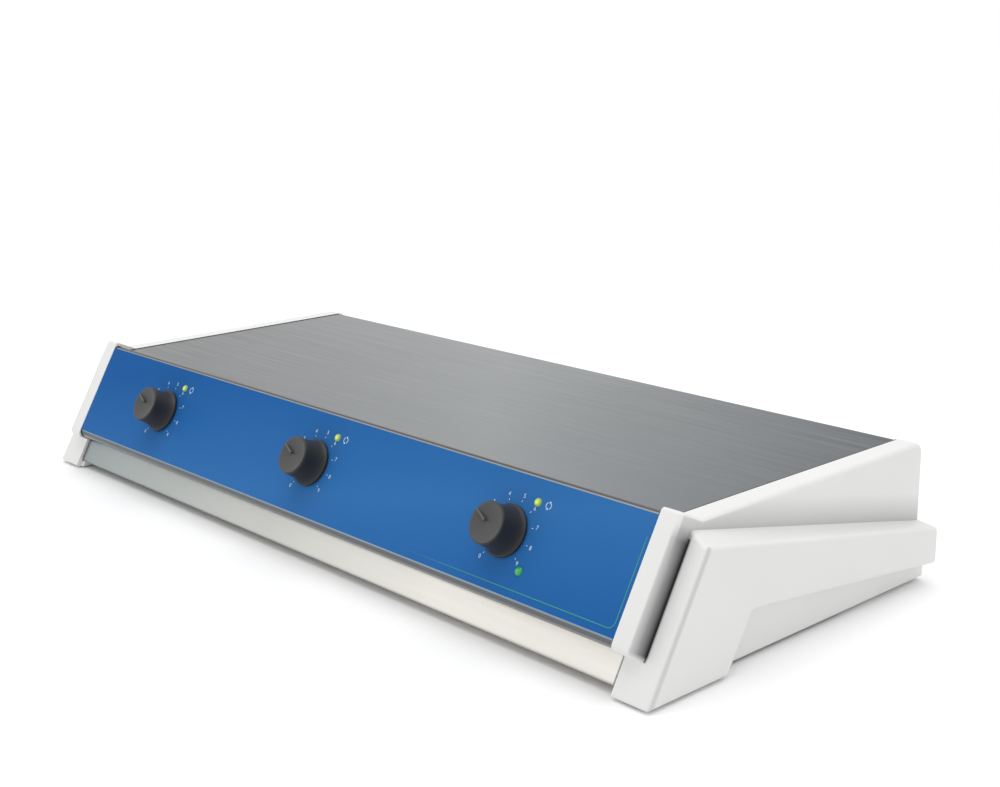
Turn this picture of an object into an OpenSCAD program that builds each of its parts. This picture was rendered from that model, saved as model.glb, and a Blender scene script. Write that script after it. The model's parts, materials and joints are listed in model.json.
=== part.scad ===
// Three-station magnetic stirrer: folded steel case between two moulded end cheeks, with a sloping
// control panel, three stirring stations under a flat steel top, and a mains inlet at the back.
// Frame: X along the length, Y to the back, Z up, origin on the bench under the middle of the object.
// Sizes in mm.

/* [Case] */
// Clear width between the end cheeks
body_w = 546; // [500:1:620]
// Height of the steel case, underside to top plate
case_h = 79; // [76:1:95]
// Depth of the top plate, front bend to back edge
plate_d = 199; // [185:1:230]
// Slope of the front, measured from the bench (degrees)
front_slope = 60; // [57:1:66]
// Thickness of the folded steel sheets
sheet_t = 1.5; // [1.2:0.1:2]
// How far the top plate folds down at the back
lip_h = 12; // [10:0.5:16]

/* [Control panel] */
// Length of the panel, measured down the slope
fascia_len = 72.5; // [70:0.5:76]
// How far the panel stands out from the sloping front
fascia_out = 11.4; // [10.5:0.1:14]
// Width of the panel's inner flanges
flange_w = 10; // [9.5:0.5:11]
// Thickness of the printed film on the panel
film_t = 0.5; // [0.3:0.1:0.8]
// Outer radius of the panel's lower bend
panel_bend = 4.5; // [3.5:0.5:5.5]

/* [End cheeks] */
// Thickness of a cheek between the case and its upper side
cheek_t = 14; // [12:0.5:16]
// How far the L-shaped rail stands out from the cheek
rail_out = 13.5; // [11:0.5:16]
// How far the skirt under the rail stands out
skirt_out = 4.5; // [3:0.5:6]
// Wall of the hollow cheeks
cheek_wall = 3; // [2.5:0.1:3.5]
// How far the cheeks reach past the top plate at the back
cheek_lap = 5; // [4:0.5:10]
// How far the cheek rim stands proud of the panel
rim_proud = 0.4; // [0.2:0.1:2]
// How far the leg sits behind the lower steel strip; below 0 it stands in front
leg_back = -2; // [-3:0.1:-1]
// Gap between a cheek's skirt and the bench
cheek_lift = 2.1; // [1.6:0.1:3]
// Gap between a cheek's leg and the bench
leg_lift = 1.4; // [1:0.1:2]
// How far the cheek tops stand above the top plate
cheek_rise = 0.3; // [0.2:0.1:2]
// Width of the groove between a cheek's rim and its leg
groove_w = 1.5; // [1:0.1:3]
// Depth of the groove behind the leg's front
groove_deep = 7; // [5:0.5:9]
// Rise of a rail's top towards its inner front corner
arm_ramp = 5; // [4:0.1:6]

/* [Feet] */
// Height of the rubber feet
foot_h = 5; // [4.5:0.5:7]
// Diameter of the rubber feet
foot_d = 18; // [16:0.5:24]

/* [Stations] */
// Distance between neighbouring stations
station_pitch = 178; // [172:1:186]
// Diameter of a motor
motor_d = 36; // [32:1:40]
// Length of a motor
motor_h = 34; // [31:1:35]
// Diameter of the rotating magnet disc
hub_d = 50; // [46:1:60]
// Thickness of the magnet disc
hub_h = 8; // [7:0.5:9]
// Diameter of a drive magnet
magnet_d = 12; // [10:0.5:13]
// Height of a drive magnet
magnet_h = 6; // [5:0.5:6.5]
// Air between the magnets and the top plate
magnet_air = 2.5; // [2:0.5:4]
// Diameter of a drive shaft
shaft_d = 5; // [4.5:0.5:6]

/* [Knobs and lamps] */
// Diameter of a knob's skirt
knob_d = 30.4; // [29:0.2:33]
// Diameter of a knob's face
knob_face_d = 24.6; // [23.6:0.2:27]
// Height of a knob
knob_h = 16.8; // [15.5:0.1:19]
// Angle of the pointers from straight up, clockwise (degrees)
knob_rest = -62; // [-140:1:140]
// Diameter of a control's spindle
spindle_d = 6; // [5.5:0.1:6.35]
// Diameter of the lamps
lamp_d = 5; // [4.5:0.1:5.4]

/* [Mains inlet and switch] */
// Distance of the inlet from the left cheek
inlet_in = 80; // [70:1:95]
// Distance from the inlet to the switch
switch_off = 62; // [58:1:75]
// Tilt of the pressed rocker (degrees)
rocker_tilt = 11; // [8:0.5:12]

/* [Fits] */
// Radial running clearance of a spindle in its bush
run_gap = 0.05; // [0.02:0.01:0.08]
// Clearance round a fixed piece in its opening
slip = 0.1; // [0.05:0.05:0.2]
// Clearance of the fuse drawer and the rocker in their openings
slide_gap = 0.2; // [0.1:0.05:0.35]

/* [Hidden] */
$fn = 96;
arc_n = 6;
cut = 1;
screw_d = 3;
head_d = 5.5;
head_h = 2.2;
slope = front_slope;
plate_z = foot_h + case_h;
floor_z = foot_h + sheet_t;
roof_z = plate_z - sheet_t;
fold_r = 1;
fascia_u = 0.6;
top_bend = sheet_t + 0.8;
film_v = fascia_out + film_t;
film_top = fascia_u + top_bend;
film_len = fascia_len - top_bend - panel_bend;
knob_u = film_top + film_len / 2;
rim_top_u = fascia_u - 2.2;
rim_low_u = fascia_u + fascia_len + 1;
rim_v = film_v + rim_proud;
rim_r = 2.4;
leg_r = 1.5;
cheek_top = plate_z + cheek_rise;
rim_reach = (rim_low_u - rim_r) * cos(slope) + (rim_v - rim_r) * sin(slope) + rim_r;
knob_v = film_v + 0.6;
knob_reach = (knob_u + knob_face_d / 2 - 0.5) * cos(slope) + (knob_v + knob_h - 0.3) * sin(slope);
leg_reach = slope_u(leg_lift, -leg_back) * cos(slope) - leg_back * sin(slope) - leg_r * (1 / tan(slope / 2) - 1);
front_reach = max(rim_reach, knob_reach, leg_reach);
slope_y = (front_reach - plate_d - cheek_lap) / 2;
plate_back = slope_y + plate_d;
cheek_back = plate_back + cheek_lap;
rear_y = plate_back - sheet_t;
station_y = slope_y + plate_d / 2;
stations = [-station_pitch, 0, station_pitch];
low_u = case_h / sin(slope);
wall_top_u = fascia_u + fascia_len - flange_w - 3;
front_lip = fascia_u + flange_w;

// Cheek points, as heights above the bench and distances from the front bend.
rail_top_u = 10.3;
rim_back = [slope_y + 5.5, cheek_top];
arm_top_z = foot_h + 30.3;
arm_low_z = foot_h + 7.4;
arm_in = [slope_y + 31, foot_h + 27.4];
heel_y = slope_y + 12;
arm_tail = 1.2;

// Stack of a station, from the top plate down.
hub_top = roof_z - magnet_air;
hub_low = hub_top - hub_h;
hub_neck = 6;
deck_t = 2;
deck_z = hub_low - hub_neck - 4;
bracket_w = motor_d + 24;
bracket_d = 54;
bracket_foot = 13;
motor_top = deck_z - deck_t;
motor_low = motor_top - motor_h;
motor_wall = 2.5;
magnet_r = hub_d / 2 - magnet_d / 2 - 3;
motor_screw_r = motor_d / 2 - 5.5;

// Control panel inside.
pot_d = 16;
board_t = 1.6;
pot_len = 8.5;
board_v = fascia_out - sheet_t - pot_len - board_t;
board_w = fascia_len - 2 * flange_w - 6;
board_l = 2 * station_pitch + 90;
bush_d = 7.6;
bush_out = sheet_t + film_t + 3.6;
nut_h = 2.2;
knob_deep = 12.5;
lamp_x = 14.5;
lamp_up = 20;
power_x = 19;
power_down = 18;
flange_u = [fascia_u + flange_w / 2, fascia_u + fascia_len - flange_w / 2];
panel_screw_x = [-station_pitch - 62, -station_pitch / 2, station_pitch / 2, station_pitch + 62];

// Cheek fixings.
tab_h = 26;
boss_d = 8;
boss_z = floor_z + 8.5;
boss_y = [station_y - 34, station_y + 42];

// Back.
inlet_x = -body_w / 2 + inlet_in;
inlet_z = foot_h + 34;
inlet_w = 54;
inlet_h = 29;
inlet_deep = 27;
inlet_lip = 4;
inlet_flange = 2.5;
socket_x = -10;
socket_w = 24;
socket_h = 16.4;
socket_deep = 17;
drawer_x = 16;
drawer_w = 9;
drawer_h = 24.4;
drawer_deep = 18;
drawer_face = 1.8;
fuse_d = 5.2;
fuse_l = 20;
switch_x = inlet_x + switch_off;
switch_z = inlet_z;
switch_w = 12.8;
switch_h = 19.2;
switch_deep = 18;
rocker_w = 9.2;
rocker_h = 14.4;
rear_foot = 13;
rear_screw_in = 30;
rear_screw_x = [-body_w / 2 + rear_screw_in, -station_pitch / 3, station_pitch / 3,
    body_w / 2 - rear_screw_in];
vent_in = 150;
vent_x = body_w / 2 - vent_in;

// Power supply.
trans_x = -station_pitch / 2;
supply_x = station_pitch / 2;
power_y = station_y + 46;
core_w = 44;
core_d = 38;
core_h = 36;
window_z = 8;
window_w = 10;
trans_foot_l = 14;
trans_foot_w = 16;
trans_foot_t = 3;
coil_out = 8;
supply_w = 64;
supply_d = 56;
supply_lift = 8;
loom_d = 5;
lead_d = 3;
loom_in = 14;
loom_y = station_y - bracket_d / 2 - loom_in;
mains_y = power_y + trans_foot_w / 2 + lead_d + slip;
join_y = rear_y - inlet_deep - 2 * lead_d;
loom_z = floor_z + loom_d / 2;

// Feet and bracket fixings.
foot_in = 42;
foot_front = 10;
foot_back = 32;
feet_at = [for (x = [-1, 1], y = [slope_y - foot_front, plate_back - foot_back])
    [x * (body_w / 2 - foot_in), y]];
bracket_at = [for (x = stations, s = [-1, 1], y = [-16, 16])
    [x + s * (bracket_w / 2 + bracket_foot / 2), station_y + y]];
trans_at = [for (x = [-1, 1]) [trans_x + x * (core_w / 2 + trans_foot_l / 2 - 1), power_y]];
supply_at = [for (x = [-1, 1], y = [-1, 1])
    [supply_x + x * (supply_w / 2 - 5), power_y + y * (supply_d / 2 - 5)]];

// Points on the sloping front: u runs down the slope from the front bend, v stands out of it.
function slope_pt(u, v) =
    [slope_y - u * cos(slope) - v * sin(slope), plate_z - u * sin(slope) + v * cos(slope)];
// The u of the point at height z on the plane at v.
function slope_u(z, v) = (plate_z - z + v * cos(slope)) / sin(slope);

// Plane paths: a unit step, the left-hand side of an edge, and a mitred corner moved to the left.
function unit(v) = v / norm(v);
function left_of(a, b) = let (d = unit(b - a)) [-d[1], d[0]];
function miter(a, b, c, t) =
    let (m = left_of(a, b), n = left_of(b, c)) b + t * (m + n) / (1 + m * n);
function turn(a, b, c) = (b[0] - a[0]) * (c[1] - b[1]) - (b[1] - a[1]) * (c[0] - b[0]);
function reversed(v) = [for (i = [len(v) - 1 : -1 : 0]) v[i]];

// An open path moved to its left, and a closed loop drawn in by t.
function shifted(path, t) =
    let (k = len(path) - 1) [for (i = [0 : k])
        i == 0 ? path[0] + t * left_of(path[0], path[1])
        : i == k ? path[k] + t * left_of(path[k - 1], path[k])
        : miter(path[i - 1], path[i], path[i + 1], t)];
function inset(loop, t) =
    let (k = len(loop)) [for (i = [0 : k - 1])
        miter(loop[(i + k - 1) % k], loop[i], loop[(i + 1) % k], t)];

// The corner b between a and c, rounded to radius r.
function arc(a, b, c, r) = r <= 0 ? [b] :
    let (p = unit(a - b), q = unit(c - b), half = acos(p * q) / 2,
        s = b + p * r / tan(half), e = b + q * r / tan(half), o = b + unit(p + q) * r / sin(half),
        from = atan2(s[1] - o[1], s[0] - o[0]), w = atan2(e[1] - o[1], e[0] - o[0]) - from,
        sweep = w > 180 ? w - 360 : w < -180 ? w + 360 : w)
    [for (i = [0 : arc_n]) let (g = from + sweep * i / arc_n) o + r * [cos(g), sin(g)]];
function rounded(loop, radii) =
    let (k = len(loop)) [for (i = [0 : k - 1])
        each arc(loop[(i + k - 1) % k], loop[i], loop[(i + 1) % k], radii[i])];
function soft_path(path, radii) =
    let (k = len(path) - 1) [path[0],
        for (i = [1 : k - 1]) each arc(path[i - 1], path[i], path[i + 1], radii[i - 1]), path[k]];

// Section of a sheet folded along path, thickness t to its left, inner bend radii r.
function sheet(path, t, r) =
    let (k = len(path) - 1,
        left = [for (i = [1 : k - 1]) turn(path[i - 1], path[i], path[i + 1]) > 0])
    concat(soft_path(path, [for (i = [0 : k - 2]) r[i] + (left[i] ? t : 0)]),
        reversed(soft_path(shifted(path, t), [for (i = [0 : k - 2]) r[i] + (left[i] ? 0 : t)])));

cheek_loop = [slope_front(cheek_lift), [cheek_back, cheek_lift], [cheek_back, cheek_top],
    rim_back, slope_pt(rim_top_u, rim_v), slope_pt(rim_low_u, rim_v), slope_pt(rim_low_u, -leg_back)];
rail_loop = [slope_front(leg_lift), [heel_y, leg_lift], arm_in, [cheek_back, arm_low_z],
    [cheek_back, arm_top_z], slope_pt(rail_top_u, -leg_back)];
core_v = -leg_back - groove_deep;
core_loop = [slope_pt(slope_u(leg_lift, core_v), core_v), [heel_y, leg_lift], arm_in,
    [cheek_back, arm_low_z], [cheek_back, arm_top_z], slope_pt(rail_top_u, core_v)];
groove_loop = [slope_pt(rim_low_u, core_v), slope_pt(rim_low_u, -leg_back + cut),
    slope_pt(rail_top_u - 1, -leg_back + cut), slope_pt(rail_top_u - 1, core_v)];
skirt_loop = [[heel_y - 8, cheek_lift], [cheek_back, cheek_lift], [cheek_back, arm_low_z + 8],
    arm_in + [-8, 8]];
function slope_front(z) = slope_pt(slope_u(z, -leg_back), -leg_back);

fascia_path = [slope_pt(fascia_u + flange_w, 0), slope_pt(fascia_u, 0), slope_pt(fascia_u, fascia_out),
    slope_pt(fascia_u + fascia_len, fascia_out), slope_pt(fascia_u + fascia_len, 0),
    slope_pt(fascia_u + fascia_len - flange_w, 0)];
plate_path = [[plate_back, plate_z - lip_h], [plate_back, plate_z], slope_pt(0, 0),
    slope_pt(front_lip, 0)];
tray_path = [slope_pt(wall_top_u, 0), slope_pt(low_u, 0), [rear_y, foot_h]];
rear_path = [[rear_y - sheet_t - rear_foot, floor_z], [rear_y, floor_z],
    [rear_y, roof_z - fold_r - slip]];
bracket_path = [[bracket_w / 2 + bracket_foot, floor_z + deck_t], [bracket_w / 2, floor_z + deck_t],
    [bracket_w / 2, deck_z], [-bracket_w / 2, deck_z], [-bracket_w / 2, floor_z + deck_t],
    [-bracket_w / 2 - bracket_foot, floor_z + deck_t]];

// Extrudes a Y-Z outline along X between two places.
module slab(x0, x1) {
    translate([x0, 0, 0]) rotate([90, 0, 90]) linear_extrude(x1 - x0) children();
}

// Stands children on the sloping front, their Z pointing out of it and their Y up the slope.
module on_slope(x, u, v = 0) {
    translate([x, slope_y, plate_z]) rotate([slope, 0, 0]) translate([0, -u, v]) children();
}

// A pan-head screw with its head on z = 0 and its thread running down.
module screw(length) {
    cylinder(d = head_d, h = head_h);
    translate([0, 0, -length]) cylinder(d = screw_d, h = length + cut / 2);
}

// A block with the middle of its back face at the given place.
module block(at, size) {
    translate([at[0] - size[0] / 2, at[1], at[2] - size[2] / 2]) cube(size);
}

module top_plate() {
    color("lightgrey") difference() {
        slab(-body_w / 2, body_w / 2) polygon(sheet(plate_path, sheet_t, [fold_r, fold_r]));
        for (x = panel_screw_x) on_slope(x, flange_u[0], -sheet_t - cut)
            cylinder(d = screw_d + 2 * slip, h = sheet_t + 2 * cut);
        for (x = rear_screw_x) translate([x, plate_back + cut, plate_z - lip_h / 2]) rotate([90, 0, 0])
            cylinder(d = screw_d + 2 * slip, h = sheet_t + 2 * cut);
    }
}

module base_tray() {
    color("silver") difference() {
        union() {
            slab(-body_w / 2, body_w / 2) polygon(sheet(tray_path, sheet_t, [fold_r]));
            for (s = [-1, 1]) slab(s > 0 ? body_w / 2 - sheet_t : -body_w / 2,
                s > 0 ? body_w / 2 : -body_w / 2 + sheet_t) polygon(end_tab());
        }
        for (x = panel_screw_x) on_slope(x, flange_u[1], -sheet_t - cut)
            cylinder(d = screw_d + 2 * slip, h = sheet_t + 2 * cut);
        for (p = concat(feet_at, bracket_at, trans_at, supply_at)) translate([p[0], p[1], foot_h - cut])
            cylinder(d = screw_d + 2 * slip, h = sheet_t + 2 * cut);
        for (x = rear_screw_x) translate([x, rear_y - sheet_t - rear_foot / 2, foot_h - cut])
            cylinder(d = screw_d + 2 * slip, h = sheet_t + 2 * cut);
        for (y = boss_y) translate([-body_w / 2 - cut, y, boss_z]) rotate([0, 90, 0])
            cylinder(d = screw_d + 2 * slip, h = body_w + 2 * cut);
    }
}

// Outline of the tray's upturned ends, which the cheeks are screwed to.
function end_tab() = [slope_pt(slope_u(floor_z - 0.5, -sheet_t / 2), -sheet_t / 2),
    [rear_y - 2 * sheet_t - rear_foot, floor_z - 0.5], [rear_y - 2 * sheet_t - rear_foot, floor_z + tab_h],
    slope_pt(slope_u(floor_z + tab_h, -sheet_t / 2), -sheet_t / 2)];

module rear_panel() {
    color("silver") difference() {
        slab(-body_w / 2, body_w / 2) polygon(sheet(rear_path, sheet_t, [fold_r]));
        block([inlet_x, rear_y - sheet_t - cut, inlet_z],
            [inlet_w + 2 * slip, sheet_t + 2 * cut, inlet_h + 2 * slip]);
        block([switch_x, rear_y - sheet_t - cut, switch_z],
            [switch_w + 2 * slip, sheet_t + 2 * cut, switch_h + 2 * slip]);
        for (x = inlet_screw_x()) rear_hole(x, inlet_z);
        for (x = rear_screw_x) rear_hole(x, plate_z - lip_h / 2);
        for (x = rear_screw_x) translate([x, rear_y - sheet_t - rear_foot / 2, floor_z - cut])
            cylinder(d = screw_d + 2 * slip, h = sheet_t + 2 * cut);
        for (i = [0 : 11]) block([vent_x + (i - 5.5) * 7, rear_y - sheet_t - cut, inlet_z],
            [3, sheet_t + 2 * cut, 30]);
    }
}

module rear_hole(x, z) {
    translate([x, rear_y + cut, z]) rotate([90, 0, 0])
        cylinder(d = screw_d + 2 * slip, h = sheet_t + 2 * cut);
}

module fascia() {
    color("gainsboro") difference() {
        slab(-body_w / 2, body_w / 2) polygon(sheet(fascia_path, sheet_t,
            [0.8, top_bend - sheet_t, panel_bend - sheet_t, 0.8]));
        panel_holes(fascia_out - sheet_t, sheet_t);
        for (x = panel_screw_x, u = flange_u) on_slope(x, u, -cut)
            cylinder(d = screw_d + 2 * slip, h = sheet_t + 2 * cut);
    }
}

module panel_film() {
    color("steelblue") difference() {
        on_slope(0, film_top + film_len, fascia_out)
            translate([-body_w / 2, 0, 0]) cube([body_w, film_len, film_t]);
        panel_holes(fascia_out, film_t);
    }
}

// Openings of the panel sheets for the controls and lamps.
module panel_holes(v, t) {
    for (x = stations) {
        on_slope(x, knob_u, v - cut) cylinder(d = bush_d + 2 * slip, h = t + 2 * cut);
        on_slope(x + lamp_x, knob_u - lamp_up, v - cut) cylinder(d = lamp_d + 2 * slip, h = t + 2 * cut);
    }
    on_slope(station_pitch + power_x, knob_u + power_down, v - cut)
        cylinder(d = lamp_d + 2 * slip, h = t + 2 * cut);
}

module cheek() {
    side = body_w / 2;
    color("whitesmoke") difference() {
        union() {
            difference() {
                union() {
                    slab(side, side + cheek_t)
                        polygon(rounded(cheek_loop, [leg_r, 2, 6, 2, rim_r, rim_r, 1]));
                    slab(side, side + cheek_t + skirt_out) polygon(skirt_loop);
                    slab(side, side + cheek_t + rail_out)
                        polygon(rounded(rail_loop, [leg_r, 1.5, 5, 2, 2, 1.5]));
                    arm_wedge();
                }
                slab(side - cut, side + cheek_t - cheek_wall) polygon(inset(cheek_loop, cheek_wall));
                slab(side - cut, side + cheek_t + skirt_out - cheek_wall)
                    polygon(inset(skirt_loop, cheek_wall));
                slab(side - cut, side + cheek_t + rail_out - cheek_wall)
                    polygon(inset(core_loop, cheek_wall));
                slab(side + cheek_t, side + cheek_t + groove_w) polygon(groove_loop);
            }
            for (y = boss_y) translate([side, y, boss_z]) rotate([0, 90, 0])
                cylinder(d = boss_d, h = cheek_t + skirt_out - cheek_wall / 2);
        }
        for (y = boss_y) translate([side - cut, y, boss_z]) rotate([0, 90, 0])
            cylinder(d = screw_d + 2 * slip, h = cheek_t);
    }
}

// The upper part of a rail, whose top rises towards the panel and the cheek: its two ends, then its faces.
module arm_wedge() {
    inner = body_w / 2 + cheek_t - cut;
    outer = body_w / 2 + cheek_t + rail_out - 1;
    front = slope_pt(rail_top_u + 0.5, -leg_back);
    back = [cheek_back - 2, arm_top_z];
    polyhedron([solid_pt(inner, slope_pt(rail_top_u - arm_ramp / sin(slope), -leg_back)),
        solid_pt(inner, front), solid_pt(outer, front),
        solid_pt(inner, back + [0, arm_tail]), solid_pt(inner, back - [0, 1]), solid_pt(outer, back)],
        [[0, 2, 1], [3, 4, 5], [0, 1, 4, 3], [0, 3, 5], [0, 5, 2], [1, 2, 5], [1, 5, 4]]);
}
function solid_pt(x, p) = [x, p[0], p[1]];

module left_cheek() { mirror([1, 0, 0]) cheek(); }
module right_cheek() { cheek(); }

module rubber_feet() {
    color("black") for (p = feet_at) translate([p[0], p[1], 0]) difference() {
        cylinder(d1 = foot_d - 2, d2 = foot_d, h = foot_h);
        translate([0, 0, -cut]) cylinder(d = head_d + 2 * slip + 1, h = cut + foot_h - 2);
        translate([0, 0, -cut]) cylinder(d = screw_d + 2 * slip, h = foot_h + 2 * cut);
    }
}

// Fixings from below: the feet, and the screws through the tray floor.
module foot_screws() {
    color("grey") for (p = feet_at) translate([p[0], p[1], foot_h - 2]) mirror([0, 0, 1]) screw(8);
}
module bracket_screws() {
    color("grey") for (p = bracket_at) translate([p[0], p[1], foot_h]) mirror([0, 0, 1]) screw(6);
}
module power_screws() {
    color("grey") for (p = concat(trans_at, supply_at))
        translate([p[0], p[1], foot_h]) mirror([0, 0, 1]) screw(6);
}
module rear_screws() {
    color("grey") for (x = rear_screw_x) translate([x, rear_y - sheet_t - rear_foot / 2, foot_h])
        mirror([0, 0, 1]) screw(6);
}
module cheek_screws() {
    color("grey") for (s = [0, 1], y = boss_y) mirror([s, 0, 0])
        translate([body_w / 2 - sheet_t, y, boss_z]) rotate([0, -90, 0]) screw(9);
}
module panel_screws() {
    color("grey") for (x = panel_screw_x, u = flange_u)
        on_slope(x, u, -sheet_t) mirror([0, 0, 1]) screw(2 * sheet_t + 2);
}
module plate_screws() {
    color("grey") for (x = rear_screw_x) translate([x, plate_back, plate_z - lip_h / 2])
        rotate([-90, 0, 0]) screw(2 * sheet_t + 2);
}
module motor_screws() {
    color("grey") for (x = stations, s = [-1, 1])
        translate([x, station_y + s * motor_screw_r, deck_z]) screw(deck_t + motor_wall);
}

// A knob: flared skirt, straight grip, dished face with a raised pointer, hollow under the skirt.
module knob(x) {
    r = knob_d / 2;
    f = knob_face_d / 2;
    flare = [for (i = [0 : 8]) let (g = 90 * i / 8)
        [f + (r - f) * (1 - sin(g)), 1.4 + (knob_h * 0.42) * (1 - cos(g))]];
    color("dimgrey") on_slope(x, knob_u, knob_v) rotate([0, 0, -knob_rest]) {
        difference() {
            rotate_extrude() polygon(concat([[0, 0], [r - 0.3, 0], [r, 0.4]], flare,
                [[f, knob_h - 1], [f - 0.5, knob_h - 0.3], [f - 1.2, knob_h], [f - 2.2, knob_h - 0.2],
                [0, knob_h - 1]]));
            translate([0, 0, -cut]) cylinder(d = 16, h = cut + nut_h + 3.4);
            translate([0, 0, -cut]) cylinder(d = spindle_d + 2 * 0.02, h = cut + knob_deep);
        }
        translate([-0.8, 3.2, knob_h - 1.2]) cube([1.6, f - 3.6, 1.4]);
    }
}

// A rotary control behind the panel, with its threaded bush through the sheet.
module control(x) {
    color("darkgrey") on_slope(x, knob_u, fascia_out - sheet_t) difference() {
        union() {
            translate([0, 0, -pot_len]) cylinder(d = pot_d, h = pot_len);
            cylinder(d = bush_d, h = bush_out);
        }
        translate([0, 0, -pot_len + 2]) cylinder(d = spindle_d + 2 * run_gap, h = pot_len + bush_out);
    }
}

module spindle(x) {
    foot = fascia_out - sheet_t - pot_len + 2.3;
    color("silver") on_slope(x, knob_u, foot) cylinder(d = spindle_d, h = knob_v + knob_deep - foot);
}

module control_nuts() {
    color("silver") for (x = stations) on_slope(x, knob_u, film_v) difference() {
        cylinder(d = 12, h = nut_h, $fn = 6);
        translate([0, 0, -cut]) cylinder(d = bush_d + 2 * run_gap, h = nut_h + 2 * cut);
    }
}

module control_board() {
    color("darkgreen") on_slope(0, knob_u, board_v)
        translate([-board_l / 2, -board_w / 2, 0]) cube([board_l, board_w, board_t]);
}

// Round spacers: between the panel and the control board, and under the supply board.
module board_spacers() {
    color("ivory") {
        for (x = [-1.5, -0.5, 0.5, 1.5], s = [-1, 1])
            on_slope(x * (board_l - 16) / 3, knob_u + s * (board_w / 2 - 4), board_v + board_t)
                cylinder(d = 6, h = pot_len);
        for (p = supply_at) translate([p[0], p[1], floor_z]) difference() {
            cylinder(d = 6, h = supply_lift);
            translate([0, 0, -cut]) cylinder(d = screw_d + 2 * slip, h = 6 + cut);
        }
    }
}

module lamp_spacers() {
    color("black") for (p = lamp_at()) on_slope(p[0], p[1], board_v + board_t)
        cylinder(d = lamp_d + 1, h = pot_len - 1.2);
}
function lamp_at() = concat([for (x = stations) [x + lamp_x, knob_u - lamp_up]],
    [[station_pitch + power_x, knob_u + power_down]]);

// A lamp: a flange behind the panel and a domed lens through it.
module lamp(p, tint) {
    color(tint) on_slope(p[0], p[1], fascia_out - sheet_t) {
        translate([0, 0, -1.2]) cylinder(d = lamp_d + 0.9, h = 1.2);
        translate([0, 0, -1]) cylinder(d = lamp_d, h = 1 + sheet_t + film_t + 0.3);
        translate([0, 0, sheet_t + film_t + 0.3]) intersection() {
            translate([0, 0, -lamp_d * 0.45]) sphere(d = lamp_d * 1.345);
            cylinder(d = lamp_d, h = lamp_d);
        }
    }
}

// A bridge of folded sheet that holds a motor up under its station.
module bracket(x) {
    color("silver") difference() {
        translate([x, station_y + bracket_d / 2, 0]) rotate([90, 0, 0]) linear_extrude(bracket_d)
            polygon(sheet(bracket_path, deck_t, [fold_r, fold_r, fold_r, fold_r]));
        translate([x, station_y, motor_top - cut]) cylinder(d = 12 + 2 * slip, h = deck_t + 2 * cut);
        for (s = [-1, 1]) translate([x, station_y + s * motor_screw_r, motor_top - cut])
            cylinder(d = screw_d + 2 * slip, h = deck_t + 2 * cut);
        for (p = bracket_at) translate([p[0], p[1], floor_z - cut])
            cylinder(d = screw_d + 2 * slip, h = deck_t + 2 * cut);
    }
}

// A motor can with bearings for the shaft at both ends.
module motor(x) {
    color("dimgrey") translate([x, station_y, motor_low]) difference() {
        union() {
            cylinder(d = motor_d, h = motor_h);
            cylinder(d = 12, h = motor_h + deck_t);
        }
        translate([0, 0, 5]) cylinder(d = motor_d - 2 * motor_wall, h = motor_h - 10);
        translate([0, 0, 2]) cylinder(d = shaft_d + 2 * run_gap, h = motor_h + deck_t);
        for (s = [-1, 1]) translate([0, s * motor_screw_r, motor_h - motor_wall - 0.5])
            cylinder(d = screw_d + 2 * slip, h = motor_wall + 1);
    }
}

// A drive shaft with the armature on it, running in the motor.
module shaft(x) {
    color("silver") translate([x, station_y, motor_low]) {
        translate([0, 0, 2.2]) cylinder(d = shaft_d, h = hub_top - motor_low - 5);
        translate([0, 0, 7]) cylinder(d = motor_d - 2 * motor_wall - 6, h = motor_h - 14);
    }
}

// The disc that carries the drive magnets.
module hub(x) {
    color("lightgrey") translate([x, station_y, hub_low]) difference() {
        union() {
            cylinder(d = hub_d, h = hub_h);
            translate([0, 0, -hub_neck]) cylinder(d = 16, h = hub_neck + cut);
        }
        translate([0, 0, -hub_neck - cut]) cylinder(d = shaft_d + 2 * 0.02,
            h = hub_top - hub_low + hub_neck + cut - 2.8);
        for (s = [-1, 1]) translate([s * magnet_r, 0, hub_h - magnet_h])
            cylinder(d = magnet_d + 2 * 0.02, h = magnet_h + cut);
    }
}

module magnets(x) {
    color("darkslategrey") for (s = [-1, 1])
        translate([x + s * magnet_r, station_y, hub_top - magnet_h]) cylinder(d = magnet_d, h = magnet_h);
}

module transformer_core() {
    color("dimgrey") difference() {
        union() {
            translate([trans_x - core_w / 2, power_y - core_d / 2, floor_z]) cube([core_w, core_d, core_h]);
            for (p = trans_at) translate([p[0] - trans_foot_l / 2, p[1] - trans_foot_w / 2, floor_z])
                cube([trans_foot_l, trans_foot_w, trans_foot_t]);
        }
        for (s = [-1, 1]) translate([trans_x + s * core_w / 4 - window_w / 2, power_y - core_d,
            floor_z + window_z]) cube([window_w, 2 * core_d, core_h - 2 * window_z]);
        for (p = trans_at) translate([p[0], p[1], floor_z - cut])
            cylinder(d = screw_d + 2 * slip, h = trans_foot_t + 2 * cut);
    }
}

// The winding, round the middle limb of the core and out at both ends of it.
module transformer_coil() {
    color("goldenrod") difference() {
        translate([trans_x - core_w / 4 - window_w / 2 + slip, power_y - core_d / 2 - coil_out,
            floor_z + window_z + slip]) cube([core_w / 2 + window_w - 2 * slip, core_d + 2 * coil_out,
            core_h - 2 * window_z - 2 * slip]);
        translate([trans_x - core_w / 4 + window_w / 2 - slip, power_y - core_d / 2, floor_z])
            cube([core_w / 2 - window_w + 2 * slip, core_d, core_h]);
    }
}

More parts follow.
